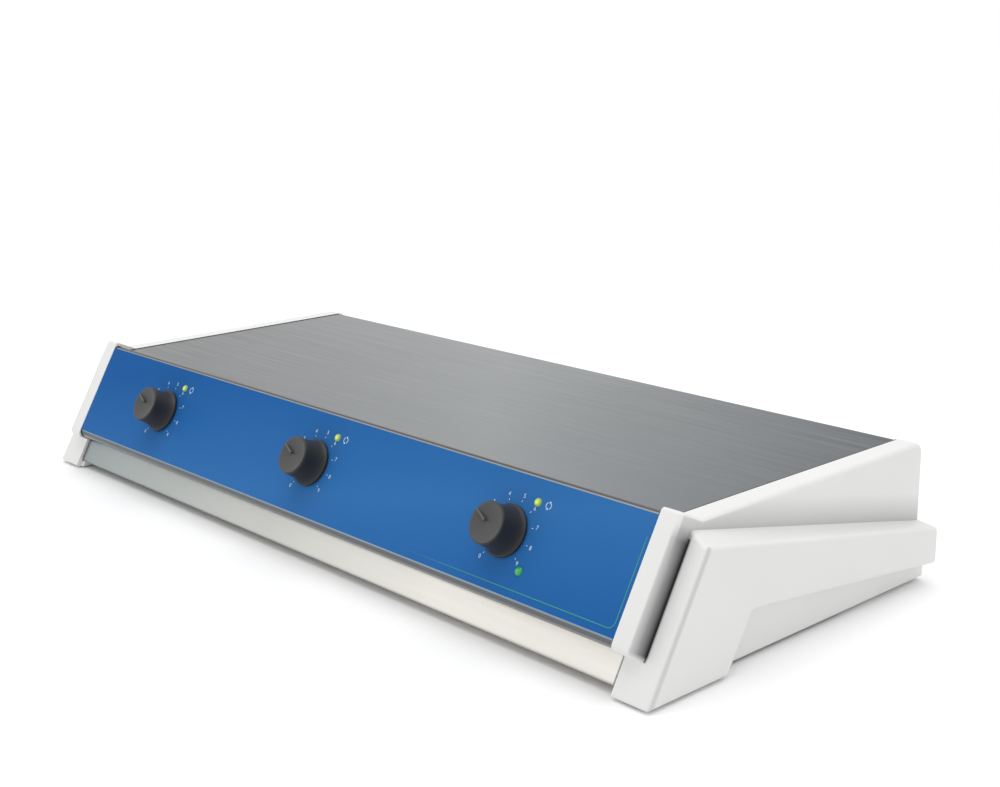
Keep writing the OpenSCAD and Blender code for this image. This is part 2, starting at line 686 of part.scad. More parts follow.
module supply_board() {
    z = floor_z + supply_lift;
    color("darkgreen") {
        translate([supply_x - supply_w / 2, power_y - supply_d / 2, z]) cube([supply_w, supply_d, board_t]);
        translate([supply_x - 14, power_y + 6, z]) cylinder(d = 16, h = 22);
        translate([supply_x + 8, power_y + 6, z]) cylinder(d = 12, h = 18);
        translate([supply_x - 20, power_y - 18, z]) cube([34, 5, 20]);
    }
}

// Places of the two screws that hold the inlet.
function inlet_screw_x() = [inlet_x - inlet_w / 2 - 6, inlet_x + inlet_w / 2 + 6];

// Outline of the socket, two corners cut off so that the plug goes in one way only.
function socket_loop() = let (w = socket_w / 2, h = socket_h / 2, c = 4.5)
    [[-w, -h], [w, -h], [w, h - c], [w - c, h], [-w + c, h], [-w, h - c]];

module inlet() {
    face = rear_y + inlet_flange;
    color("black") difference() {
        union() {
            block([inlet_x, rear_y - inlet_deep, inlet_z], [inlet_w, inlet_deep + cut, inlet_h]);
            block([inlet_x, rear_y, inlet_z],
                [inlet_w + 24, inlet_flange, inlet_h + 2 * inlet_lip]);
        }
        translate([inlet_x + socket_x, face + cut, inlet_z]) rotate([90, 0, 0])
            linear_extrude(socket_deep + cut) polygon(socket_loop());
        block([inlet_x + drawer_x, face - drawer_deep - 2, inlet_z],
            [drawer_w + 2 * slide_gap, drawer_deep + 2 + cut, drawer_h + 2 * slide_gap]);
        for (p = pin_at()) block([inlet_x + socket_x + p[0], face - socket_deep - 8, inlet_z + p[1]],
            [2 + 0.04, 9, 4 + 0.04]);
        for (x = inlet_screw_x()) translate([x, face + cut, inlet_z]) rotate([90, 0, 0])
            cylinder(d = screw_d + 2 * slip, h = inlet_flange + 2 * cut);
    }
}
function pin_at() = [[-7, -2], [0, 2], [7, -2]];

module inlet_pins() {
    face = rear_y + inlet_flange;
    color("gold") for (p = pin_at())
        block([inlet_x + socket_x + p[0], face - socket_deep - 8, inlet_z + p[1]], [2, 19, 4]);
}

module inlet_screws() {
    color("grey") for (x = inlet_screw_x()) translate([x, rear_y + inlet_flange, inlet_z])
        rotate([-90, 0, 0]) screw(inlet_flange + sheet_t + 2);
}

// The drawer slides straight out of the back with the fuse in it.
module fuse_drawer() {
    face = rear_y + inlet_flange;
    color("dimgrey") difference() {
        union() {
            block([inlet_x + drawer_x, face - drawer_deep, inlet_z], [drawer_w, drawer_deep + 0.5, drawer_h]);
            block([inlet_x + drawer_x, face, inlet_z], [drawer_w + 2.4, drawer_face, drawer_h + 2]);
            block([inlet_x + drawer_x, face + drawer_face - 0.5, inlet_z - 6], [drawer_w - 2, 1.5, 2]);
        }
        block([inlet_x + drawer_x, face - drawer_deep + 2, inlet_z],
            [drawer_w + 2, fuse_d + 2, fuse_l + 0.4]);
    }
}

module fuse() {
    face = rear_y + inlet_flange;
    color("silver") translate([inlet_x + drawer_x, face - drawer_deep + 2 + fuse_d / 2,
        inlet_z - fuse_l / 2 - 0.2]) cylinder(d = fuse_d, h = fuse_l);
}

module switch_body() {
    color("black") difference() {
        union() {
            block([switch_x, rear_y - switch_deep, switch_z], [switch_w, switch_deep + cut, switch_h]);
            block([switch_x, rear_y, switch_z], [switch_w + 2.6, 2, switch_h + 2.6]);
        }
        block([switch_x, rear_y - 8, switch_z], [rocker_w + 2 * slide_gap, 10 + cut, rocker_h + 1.8]);
        translate([switch_x - 5.9, rear_y - 1, switch_z]) rotate([0, 90, 0])
            cylinder(d = 2.4 + 2 * run_gap, h = 11.8);
    }
}

// The rocker, drawn pressed in at its upper end.
module rocker() {
    h = rocker_h / 2;
    color("black") translate([switch_x, rear_y - 1, switch_z]) rotate([rocker_tilt, 0, 0]) {
        translate([-rocker_w / 2, 0, 0]) rotate([90, 0, 90]) linear_extrude(rocker_w)
            polygon([[0.6, -h], [3.8, -h], [2.6, 0], [3.8, h], [0.6, h], [-3, 3], [-3, -3]]);
        translate([-5.7, 0, 0]) rotate([0, 90, 0]) cylinder(d = 2.4, h = 11.4);
    }
}

// A wire through square corners, its bends closed with balls.
module wire(points, d) {
    for (i = [1 : len(points) - 1]) let (a = points[i - 1], b = points[i], v = b - a, l = norm(v))
        translate(a) rotate([0, acos(v[2] / l), atan2(v[1], v[0])]) cylinder(d = d, h = l);
    if (len(points) > 2) for (i = [1 : len(points) - 2]) translate(points[i]) sphere(d = d * 1.2);
}

// The wiring: a trunk along the floor, a branch to each motor and to the board, and the mains wires.
module loom() {
    front = slope_pt(knob_u, board_v);
    color("firebrick") {
        wire([[-station_pitch, loom_y, loom_z], [station_pitch, loom_y, loom_z]], loom_d);
        for (x = stations) wire([[x, loom_y, loom_z], [x, station_y - 10, loom_z],
            [x, station_y - 10, motor_low]], lead_d);
        wire([[supply_x + 10, loom_y, loom_z], [supply_x + 10, loom_y, front[1]],
            [supply_x + 10, front[0] + lead_d / 2 / tan(slope), front[1]]], lead_d);
        wire([[supply_x, loom_y, loom_z], [supply_x, power_y - supply_d / 2 + 4, loom_z],
            [supply_x, power_y - supply_d / 2 + 4, floor_z + supply_lift]], lead_d);
        wire([[trans_x, loom_y, loom_z], [trans_x, power_y - core_d / 2 - 4, loom_z],
            [trans_x, power_y - core_d / 2 - 4, floor_z + window_z + slip]], lead_d);
        wire([[inlet_x, rear_y - inlet_deep, inlet_z], [inlet_x, mains_y, inlet_z],
            [inlet_x, mains_y, loom_z], [trans_x - core_w / 2, mains_y, loom_z]], lead_d);
        wire([[switch_x, rear_y - switch_deep, switch_z], [switch_x, join_y, switch_z],
            [inlet_x, join_y, inlet_z]], lead_d);
    }
}

top_plate();
base_tray();
rear_panel();
fascia();
panel_film();
left_cheek();
right_cheek();
rubber_feet();
foot_screws();
cheek_screws();
panel_screws();
plate_screws();
rear_screws();
bracket_screws();
motor_screws();
knob(stations[0]);  // left_knob
knob(stations[1]);  // centre_knob
knob(stations[2]);  // right_knob
control(stations[0]);  // left_control
control(stations[1]);  // centre_control
control(stations[2]);  // right_control
spindle(stations[0]);  // left_spindle
spindle(stations[1]);  // centre_spindle
spindle(stations[2]);  // right_spindle
control_nuts();
control_board();
board_spacers();
lamp_spacers();
lamp(lamp_at()[0], "yellow");  // left_lamp
lamp(lamp_at()[1], "yellow");  // centre_lamp
lamp(lamp_at()[2], "yellow");  // right_lamp
lamp(lamp_at()[3], "limegreen");  // power_lamp
bracket(stations[0]);  // left_bracket
bracket(stations[1]);  // centre_bracket
bracket(stations[2]);  // right_bracket
motor(stations[0]);  // left_motor
motor(stations[1]);  // centre_motor
motor(stations[2]);  // right_motor
shaft(stations[0]);  // left_shaft
shaft(stations[1]);  // centre_shaft
shaft(stations[2]);  // right_shaft
hub(stations[0]);  // left_hub
hub(stations[1]);  // centre_hub
hub(stations[2]);  // right_hub
magnets(stations[0]);  // left_magnets
magnets(stations[1]);  // centre_magnets
magnets(stations[2]);  // right_magnets
transformer_core();
transformer_coil();
power_screws();
supply_board();
inlet();
inlet_pins();
inlet_screws();
fuse_drawer();
fuse();
switch_body();
rocker();
loom();
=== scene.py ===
"""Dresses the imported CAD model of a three-station bench magnetic stirrer.

Outlines are drawn in millimetres and meshes are made in metres. X runs along the
control panel, Y from the panel to the back and Z up from the bench.
"""

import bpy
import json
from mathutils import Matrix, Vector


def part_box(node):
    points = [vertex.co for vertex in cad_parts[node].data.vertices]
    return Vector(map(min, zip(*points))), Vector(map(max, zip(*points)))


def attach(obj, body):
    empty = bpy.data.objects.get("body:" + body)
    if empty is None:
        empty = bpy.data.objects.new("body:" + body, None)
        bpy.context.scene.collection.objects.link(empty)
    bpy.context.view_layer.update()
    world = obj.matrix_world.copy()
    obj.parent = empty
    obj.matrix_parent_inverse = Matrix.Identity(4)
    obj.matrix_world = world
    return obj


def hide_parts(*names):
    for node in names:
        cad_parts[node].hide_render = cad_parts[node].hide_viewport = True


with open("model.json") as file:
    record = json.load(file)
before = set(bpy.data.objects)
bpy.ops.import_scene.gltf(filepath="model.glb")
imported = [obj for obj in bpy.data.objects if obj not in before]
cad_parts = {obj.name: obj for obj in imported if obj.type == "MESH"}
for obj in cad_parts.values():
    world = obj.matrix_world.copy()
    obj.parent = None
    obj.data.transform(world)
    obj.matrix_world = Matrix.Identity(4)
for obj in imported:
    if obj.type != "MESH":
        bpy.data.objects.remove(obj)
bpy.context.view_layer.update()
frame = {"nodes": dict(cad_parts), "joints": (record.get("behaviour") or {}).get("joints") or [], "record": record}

import json
import logging
import math
from collections.abc import Callable, Iterable, Sequence
from dataclasses import dataclass, field
from enum import Enum

import bmesh
import bpy
from mathutils import Matrix, Vector

MM = 0.001
SAME_PLACE = 1e-6  # metres, within which points are one
NO_LENGTH = 1e-7  # metres, up to which an edge has no length
POLE_R = 1e-4  # millimetres, the radius that stands for a pole
LEAST_R = 0.05  # millimetres, the least rounding of a corner
SHARP = 35.0  # degrees, from which an edge stays sharp
FLAT = 1.0  # degrees, up to which neighbouring faces are one
EASED = 40.0  # degrees, from which an edge is eased
MIX_A, MIX_B, MIX_OUT = 6, 7, 2  # the sockets for colours on a Mix node
Loop = list[Vector]
Triple = tuple[float, float, float]
Colour = Triple
Band = Triple  # its lower end, its upper end and how softly it falls off
Socket = bpy.types.NodeSocket
Filler = Callable[[bpy.types.NodeTree, bpy.types.Node, bpy.types.Node], None]
PER_MM: Triple = (1 / MM, 1 / MM, 1 / MM)
log = logging.getLogger("stirrer")


class Station(Enum):
    """The three stirring places, by where they stand along the panel."""

    LEFT = "left"
    CENTRE = "centre"
    RIGHT = "right"


class Side(Enum):
    """The two ends of the case, by the direction that they face along X."""

    LEFT = -1
    RIGHT = 1


class Cut(Enum):
    """The boolean operations that shape a moulding."""

    JOIN = "UNION"
    REMOVE = "DIFFERENCE"


# Plane outlines


def points(*pairs: tuple[float, float]) -> Loop:
    """Returns the pairs as plane points."""
    return [Vector(pair) for pair in pairs]


def quarter(steps: int, first: int = 0) -> list[float]:
    """Returns the angles of a quarter turn in even steps, from the first one on."""
    return [math.pi / 2 * i / steps for i in range(first, steps + 1)]


def left_of(a: Vector, b: Vector) -> Vector:
    """Returns the unit normal on the left of the step from a to b."""
    step = (b - a).normalized()
    return Vector((-step.y, step.x))


def turns_left(a: Vector, b: Vector, c: Vector) -> bool:
    """Tells whether a path turns left at b."""
    return (b.x - a.x) * (c.y - b.y) - (b.y - a.y) * (c.x - b.x) > 0


def mitred(a: Vector, b: Vector, c: Vector, depth: float) -> Vector:
    """Returns the corner b of a path, moved to the left by depth."""
    m, n = left_of(a, b), left_of(b, c)
    return b + (m + n) * (depth / (1 + m.dot(n)))


def inset(loop: Loop, depth: float) -> Loop:
    """Draws a counter-clockwise loop in.

    Args:
        loop: The corners of the loop.
        depth: How far to draw it in, or out where it is negative.

    Returns:
        The corners of the smaller loop, in the same order.
    """
    k = len(loop)
    return [mitred(loop[i - 1], loop[i], loop[(i + 1) % k], depth) for i in range(k)]


def arc(a: Vector, b: Vector, c: Vector, radius: float, steps: int) -> Loop:
    """Rounds the corner b between a and c.

    Args:
        a: The corner before.
        b: The corner to round.
        c: The corner after.
        radius: The radius of the rounding.
        steps: How many straight steps stand for it.

    Returns:
        The points of the rounding, from a's side to c's.
    """
    p, q = (a - b).normalized(), (c - b).normalized()
    half = math.acos(max(-1.0, min(1.0, p.dot(q)))) / 2
    reach = radius / math.tan(half)
    start, end = b + p * reach, b + q * reach
    centre = b + (p + q).normalized() * (radius / math.sin(half))
    first = math.atan2(start.y - centre.y, start.x - centre.x)
    sweep = math.atan2(end.y - centre.y, end.x - centre.x) - first
    sweep = (sweep + math.pi) % math.tau - math.pi
    angles = [first + sweep * i / steps for i in range(steps + 1)]
    return [centre + Vector((math.cos(g), math.sin(g))) * radius for g in angles]


def rounded(loop: Loop, radii: Sequence[float], steps: int) -> Loop:
    """Rounds each corner of a loop to its own radius.

    Args:
        loop: The corners of the loop.
        radii: One radius for each corner.
        steps: How many straight steps stand for a rounding.

    Returns:
        The points of the rounded loop.
    """
    k = len(loop)
    out: Loop = []
    for i, radius in enumerate(radii):
        out += arc(loop[i - 1], loop[i], loop[(i + 1) % k], radius, steps)
    return out


def folded(path: Loop, thickness: float, radii: Sequence[float], steps: int) -> Loop:
    """Gives the section of a sheet folded along a path.

    Args:
        path: The corners of the path that the sheet's right face follows.
        thickness: The sheet's thickness, to the left of the path.
        radii: The inner radius of each fold.
        steps: How many straight steps stand for a fold.

    Returns:
        The closed outline of the section.
    """
    last = len(path) - 1
    moved = [path[0] + left_of(path[0], path[1]) * thickness]
    moved += [mitred(path[i - 1], path[i], path[i + 1], thickness) for i in range(1, last)]
    moved += [path[last] + left_of(path[last - 1], path[last]) * thickness]

    def run(line: Loop, outer: bool) -> Loop:
        """Rounds the folds of one face of the sheet.

        Args:
            line: The corners of the face.
            outer: Whether a left turn has its wide side on this face.

        Returns:
            The points of the face.
        """
        out = [line[0]]
        for i in range(1, last):
            wide = turns_left(path[i - 1], path[i], path[i + 1]) == outer
            out += arc(line[i - 1], line[i], line[i + 1], radii[i - 1] + wide * thickness, steps)
        return out + [line[last]]

    return run(path, True) + run(moved, False)[::-1]


# Meshes


def to_object(name: str, mesh: bpy.types.Mesh) -> bpy.types.Object:
    """Puts a mesh in the scene.

    Args:
        name: The name of the object.
        mesh: The mesh, with its place in it.

    Returns:
        The object, which stands at the origin.
    """
    made = bpy.data.objects.new(name, mesh)
    bpy.context.scene.collection.objects.link(made)
    return made


def to_mesh(name: str, bm: bmesh.types.BMesh, sharp: float = SHARP) -> bpy.types.Mesh:
    """Closes a bmesh into a clean mesh.

    Args:
        name: The mesh's name.
        bm: The bmesh, which is freed.
        sharp: The angle in degrees from which an edge stays sharp.

    Returns:
        The mesh, with doubles merged, faces outwards and smooth shading.
    """
    bmesh.ops.remove_doubles(bm, verts=bm.verts, dist=SAME_PLACE)
    bmesh.ops.dissolve_degenerate(bm, edges=bm.edges, dist=NO_LENGTH)
    bmesh.ops.recalc_face_normals(bm, faces=bm.faces)
    mesh = bpy.data.meshes.new(name)
    bm.to_mesh(mesh)
    bm.free()
    mesh.shade_smooth()
    mesh.set_sharp_from_angle(angle=math.radians(sharp))
    return mesh


def loft(rings: list[list[Vector]]) -> bmesh.types.BMesh:
    """Joins rings of points, each as long as the last, into a skin with closed ends.

    Args:
        rings: The rings, in order along the skin.

    Returns:
        The skin as a bmesh.
    """
    bm = bmesh.new()
    rows = [[bm.verts.new(p) for p in ring] for ring in rings]
    k = len(rows[0])
    for low, high in zip(rows, rows[1:]):
        for i in range(k):
            j = (i + 1) % k
            bm.faces.new((low[i], low[j], high[j], high[i]))
    bm.faces.new(rows[0][::-1])
    bm.faces.new(rows[-1])
    return bm


def slab(loop: Loop, x0: float, x1: float) -> bmesh.types.BMesh:
    """Extrudes a Y-Z outline along X, all in millimetres."""
    return loft([[Vector((x, p.x, p.y)) * MM for p in loop] for x in (x0, x1)])


def soft_slab(loop: Loop, radii: Sequence[float], x0: float, x1: float, edge: float,
              near: Loop | None = None, near_x: float = 0.0, steps: int = 6) -> bmesh.types.BMesh:
    """Extrudes a Y-Z outline along X with a rounded edge round its far face.

    Args:
        loop: The corners of the outline, in millimetres.
        radii: The rounding of each corner.
        x0: Where the flat near face lies.
        x1: Where the far face lies.
        edge: The radius of the rounded edge.
        near: The corners up to near_x, where they differ from those at the far face.
        near_x: Where the near outline starts to turn into the far one.
        steps: How many straight steps stand for a rounding.

    Returns:
        The solid as a bmesh.
    """
    k = len(loop)
    bulges = [turns_left(loop[i - 1], loop[i], loop[(i + 1) % k]) for i in range(k)]

    def ring(line: Loop, x: float, depth: float) -> list[Vector]:
        """Returns an outline drawn in by depth, at x."""
        fits = [max(r - depth, LEAST_R) if b else r + depth for r, b in zip(radii, bulges)]
        return [Vector((x, p.x, p.y)) * MM for p in rounded(inset(line, depth), fits, steps)]

    rings = [ring(near, x, 0.0) for x in (x0, near_x)] if near else [ring(loop, x0, 0.0)]
    for g in quarter(steps):
        rings.append(ring(loop, x1 + edge * (math.sin(g) - 1), edge * (1 - math.cos(g))))
    return loft(rings)


def lathe(profile: Sequence[tuple[float, float]], steps: int = 64) -> bmesh.types.BMesh:
    """Turns a profile of (radius, height) in millimetres round Z.

    Args:
        profile: The points of the profile; a radius of 0 at an end is a pole.
        steps: How many steps go round.

    Returns:
        The turned solid as a bmesh.
    """
    spin = [Vector((math.cos(math.tau * i / steps), math.sin(math.tau * i / steps), 0))
            for i in range(steps)]
    return loft([[(d * max(r, POLE_R) + Vector((0, 0, h))) * MM for d in spin] for r, h in profile])


def tube(radius: float, low: float, high: float, steps: int = 32) -> bmesh.types.BMesh:
    """Makes a plain round bar along Z, in millimetres."""
    return lathe([(radius, low), (radius, high)], steps)


def brick(low: Triple, high: Triple) -> bmesh.types.BMesh:
    """Makes a block between two corners, in millimetres."""
    loop = points((low[1], low[2]), (high[1], low[2]), (high[1], high[2]), (low[1], high[2]))
    return slab(loop, low[0], high[0])


def moved(bm: bmesh.types.BMesh, matrix: Matrix) -> bmesh.types.BMesh:
    """Puts a bmesh in its place and returns it."""
    bmesh.ops.transform(bm, matrix=matrix, verts=bm.verts)
    return bm


def merged(name: str, parts: Iterable[bpy.types.Mesh], sharp: float = SHARP) -> bpy.types.Mesh:
    """Joins meshes into one, which takes their place.

    Args:
        name: The name of the joined mesh.
        parts: The meshes, which are removed.
        sharp: The angle in degrees from which an edge stays sharp.

    Returns:
        The joined mesh.
    """
    bm = bmesh.new()
    for part in parts:
        bm.from_mesh(part)
        bpy.data.meshes.remove(part)
    return to_mesh(name, bm, sharp)


def baked(made: bpy.types.Object) -> bpy.types.Object:
    """Turns an object's modifiers into plain mesh and removes them.

    Args:
        made: The object.

    Returns:
        The same object, with its new mesh.
    """
    graph = bpy.context.evaluated_depsgraph_get()
    mesh = bpy.data.meshes.new_from_object(
        made.evaluated_get(graph), preserve_all_data_layers=True, depsgraph=graph)
    made.modifiers.clear()
    made.data, old = mesh, made.data
    bpy.data.meshes.remove(old)
    return made


def shaped(made: bpy.types.Object, cut: Cut, tools: Iterable[bmesh.types.BMesh]) -> bpy.types.Object:
    """Joins solids to an object, or cuts them out of it.

    Args:
        made: The object to shape.
        cut: What to do with the solids.
        tools: The solids, used one after another.

    Returns:
        The shaped object.
    """
    for bm in tools:
        tool = to_object("tool", to_mesh("tool", bm))
        step = made.modifiers.new("step", "BOOLEAN")
        step.operation, step.solver, step.object = cut.value, "EXACT", tool
        baked(made)
        bpy.data.meshes.remove(tool.data)
    return made


def cleaned(made: bpy.types.Object, sharp: float = SHARP) -> bpy.types.Object:
    """Merges the doubles that shaping leaves and shades the object smoothly.

    Args:
        made: The object.
        sharp: The angle in degrees from which an edge stays sharp.

    Returns:
        The same object, with its new mesh.
    """
    bm = bmesh.new()
    bm.from_mesh(made.data)
    old, made.data = made.data, to_mesh(made.name, bm, sharp)
    bpy.data.meshes.remove(old)
    return made


def solids_of(node: str) -> list[tuple[Vector, Vector]]:
    """Finds the separate solids of a CAD node.

    Args:
        node: The node's name.

    Returns:
        The lowest and highest corner of each solid, ordered along X and then Y.
    """
    bm = bmesh.new()
    bm.from_mesh(frame["nodes"][node].data)
    bmesh.ops.remove_doubles(bm, verts=bm.verts, dist=SAME_PLACE)
    left, boxes = set(bm.verts), []
    while left:
        heap, found = [left.pop()], []
        while heap:
            vert = heap.pop()
            found.append(vert.co.copy())
            near = {e.other_vert(vert) for e in vert.link_edges} & left
            left -= near
            heap += near
        boxes.append((Vector(map(min, zip(*found))), Vector(map(max, zip(*found)))))
    bm.free()
    return sorted(boxes, key=lambda box: (round(box[0].x, 5), round(box[0].y, 5)))


def softened(name: str, node: str, width: float) -> bpy.types.Object:
    """Makes a copy of a CAD node with its sharp edges eased.

    Args:
        name: The name of the new piece.
        node: The node to copy.
        width: The width of the eased edges, in millimetres.

    Returns:
        The new piece.
    """
    bm = bmesh.new()
    bm.from_mesh(frame["nodes"][node].data)
    bmesh.ops.remove_doubles(bm, verts=bm.verts, dist=SAME_PLACE)
    bmesh.ops.dissolve_limit(bm, angle_limit=math.radians(FLAT), verts=bm.verts, edges=bm.edges)
    made = to_object(name, to_mesh(name, bm))
    ease = made.modifiers.new("ease", "BEVEL")
    ease.width, ease.segments = width * MM, 2
    ease.limit_method, ease.angle_limit = "ANGLE", math.radians(EASED)
    ease.use_clamp_overlap = True
    return cleaned(baked(made))


# Geometry node trees


class NodeRule:
    """A Geometry Nodes tree with named inputs, and the piece that it makes."""

    def __init__(self, name: str) -> None:
        """Starts an empty tree that takes and gives geometry.

        Args:
            name: The name of the tree.
        """
        self.tree = bpy.data.node_groups.new(name, "GeometryNodeTree")
        self.keys: dict[str, str] = {}
        self.input("Geometry", "NodeSocketGeometry")
        self.tree.interface.new_socket("Geometry", in_out="OUTPUT", socket_type="NodeSocketGeometry")
        self.start = self.tree.nodes.new("NodeGroupInput")
        self.end = self.tree.nodes.new("NodeGroupOutput")

    def input(self, name: str, kind: str) -> None:
        """Adds a named input to the tree."""
        socket = self.tree.interface.new_socket(name, in_out="INPUT", socket_type=kind)
        self.keys[name] = socket.identifier

    def node(self, kind: str, **links: object) -> bpy.types.Node:
        """Adds a node.

        Args:
            kind: The node's type.
            **links: Its inputs by name, with _ for a space: a socket to link, or a value.

        Returns:
            The new node.
        """
        made = self.tree.nodes.new(kind)
        wire(self.tree, made, links)
        return made

    def close(self, instances: Socket) -> None:
        """Ends the tree: the copies become plain mesh and take the finish.

        Args:
            instances: The socket of the copies.
        """
        plain = self.node("GeometryNodeRealizeInstances", Geometry=instances)
        paint = self.node("GeometryNodeSetMaterial", Geometry=plain.outputs[0],
                          Material=self.start.outputs["Finish"])
        self.tree.links.new(paint.outputs[0], self.end.inputs[0])

    def run(self, name: str, seeds: bpy.types.Mesh, **values: object) -> bpy.types.Object:
        """Makes a piece by the rule.

        Args:
            name: The name of the piece.
            seeds: The mesh that the tree takes in.
            **values: The tree's inputs by name.

        Returns:
            The piece, as plain mesh.
        """
        made = to_object(name, seeds)
        rule = made.modifiers.new("rule", "NODES")
        rule.node_group = self.tree
        for key, value in values.items():
            rule[self.keys[key]] = value
        return baked(made)


class PlacedCopies(NodeRule):
    """Copies of one piece at places that each carry their own turn."""

    def __init__(self) -> None:
        """Builds the tree."""
        super().__init__("Placed Copies")
        self.input("Piece", "NodeSocketObject")
        self.input("Size", "NodeSocketFloat")
        self.input("Finish", "NodeSocketMaterial")
        piece = self.node("GeometryNodeObjectInfo", Object=self.start.outputs["Piece"], As_Instance=True)
        turn = self.tree.nodes.new("GeometryNodeInputNamedAttribute")
        turn.data_type = "FLOAT_VECTOR"
        turn.inputs["Name"].default_value = "turn"
        angle = self.node("FunctionNodeEulerToRotation", Euler=turn.outputs["Attribute"])
        copies = self.node("GeometryNodeInstanceOnPoints", Points=self.start.outputs["Geometry"],
                           Instance=piece.outputs["Geometry"], Rotation=angle.outputs[0],
                           Scale=self.start.outputs["Size"])
        self.close(copies.outputs[0])

    def copies(self, name: str, piece: bpy.types.Mesh, places: Sequence[Matrix],
               finish: bpy.types.Material) -> bpy.types.Object:
        """Sets a piece at each place.

        Args:
            name: The name of the result.
            piece: The mesh to copy, which is removed.
            places: Where each copy stands.
            finish: The material of the copies.

        Returns:
            All copies as one piece.
        """
        seeds = bpy.data.meshes.new("places")
        seeds.from_pydata([m.translation for m in places], [], [])
        turns = seeds.attributes.new("turn", "FLOAT_VECTOR", "POINT")
        for item, place in zip(turns.data, places):
            item.vector = place.to_euler()
        pattern = to_object("pattern", piece)
        made = self.run(name, seeds, Piece=pattern, Size=1.0, Finish=finish)
        bpy.data.meshes.remove(piece)
        return made


class DialTicks(NodeRule):
    """Short marks along an arc, each pointing away from its middle."""

    def __init__(self) -> None:
        """Builds the tree."""
        super().__init__("Dial Ticks")
        for name in ("Radius", "Start", "Sweep", "Length", "Width", "Height"):
            self.input(name, "NodeSocketFloat")
        self.input("Count", "NodeSocketInt")
        self.input("Finish", "NodeSocketMaterial")
        given = self.start.outputs
        line = self.node("GeometryNodeCurveArc", Resolution=given["Count"], Radius=given["Radius"],
                         Start_Angle=given["Start"], Sweep_Angle=given["Sweep"])
        spots = self.tree.nodes.new("GeometryNodeCurveToPoints")
        spots.mode = "EVALUATED"
        self.tree.links.new(line.outputs["Curve"], spots.inputs["Curve"])
        size = self.node("ShaderNodeCombineXYZ", X=given["Length"], Y=given["Width"], Z=given["Height"])
        mark = self.node("GeometryNodeMeshCube", Size=size.outputs[0])
        here = self.tree.nodes.new("GeometryNodeInputPosition")
        aim = self.node("FunctionNodeAlignRotationToVector", Vector=here.outputs[0])
        aim.axis, aim.pivot_axis = "X", "Z"
        copies = self.node("GeometryNodeInstanceOnPoints", Points=spots.outputs["Points"],
                           Instance=mark.outputs["Mesh"], Rotation=aim.outputs[0])
        self.close(copies.outputs[0])


# Shared sizes


@dataclass(frozen=True)
class Layout:
    """Sizes that more than one sub-assembly uses, in millimetres."""

    body_w: float = 546.0
    plate_d: float = 199.0
    sheet_t: float = 1.5
    foot_h: float = 5.0
    fold_r: float = 1.0
    slope: float = 60.0
    fascia_u: float = 0.6
    fascia_len: float = 72.5
    fascia_out: float = 11.4
    flange_w: float = 10.0
    film_t: float = 0.5
    top_bend: float = 2.3
    panel_bend: float = 4.5
    pitch: float = 178.0
    strip_out: float = 2.3
    lamp_x: float = 14.5
    lamp_up: float = 20.0
    power_x: float = 19.0
    power_down: float = 18.0
    lamp_d: float = 5.0

    @property
    def plate_z(self) -> float:
        """Height of the top plate."""
        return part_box("top_plate")[1].z / MM

    @property
    def plate_back(self) -> float:
        """Place of the top plate's back face."""
        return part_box("top_plate")[1].y / MM

    @property
    def slope_y(self) -> float:
        """Place of the front bend."""
        return self.plate_back - self.plate_d

    @property
    def film_v(self) -> float:
        """How far the film's face stands out of the slope."""
        return self.fascia_out + self.film_t

    @property
    def knob_u(self) -> float:
        """How far down the slope the knobs sit."""
        film_len = self.fascia_len - self.top_bend - self.panel_bend
        return self.fascia_u + self.top_bend + film_len / 2

    def front(self, u: float, v: float) -> Vector:
        """Returns the Y-Z point that is u down the slope and v out of it."""
        c, s = math.cos(math.radians(self.slope)), math.sin(math.radians(self.slope))
        return Vector((self.slope_y - u * c - v * s, self.plate_z - u * s + v * c))

    def front_u(self, z: float, v: float) -> float:
        """Returns how far down the slope the plane at v comes to height z."""
        c, s = math.cos(math.radians(self.slope)), math.sin(math.radians(self.slope))
        return (self.plate_z - z + v * c) / s

    def on_front(self, x: float, u: float, v: float) -> Matrix:
        """Places a piece on the slope, its Y up the slope and its Z out of it.

        Args:
            x: Where it stands along X.
            u: How far down the slope.
            v: How far out of the slope.

        Returns:
            The place.
        """
        p = self.front(u, v)
        spot = Matrix.Translation(Vector((x, p.x, p.y)) * MM)
        return spot @ Matrix.Rotation(math.radians(self.slope), 4, "X")

    def station_x(self, station: Station) -> float:
        """Returns where a station stands along X."""
        return (list(Station).index(station) - 1) * self.pitch

    def lamp_places(self) -> dict[str, tuple[float, float]]:
        """Finds where the lamps stand.

        Returns:
            Each lamp's place along X and down the slope, by its node.
        """
        spots = {f"{s.value}_lamp": (self.station_x(s) + self.lamp_x, self.knob_u - self.lamp_up)
                 for s in Station}
        spots["power_lamp"] = (self.pitch + self.power_x, self.knob_u + self.power_down)
        return spots


# Finishes


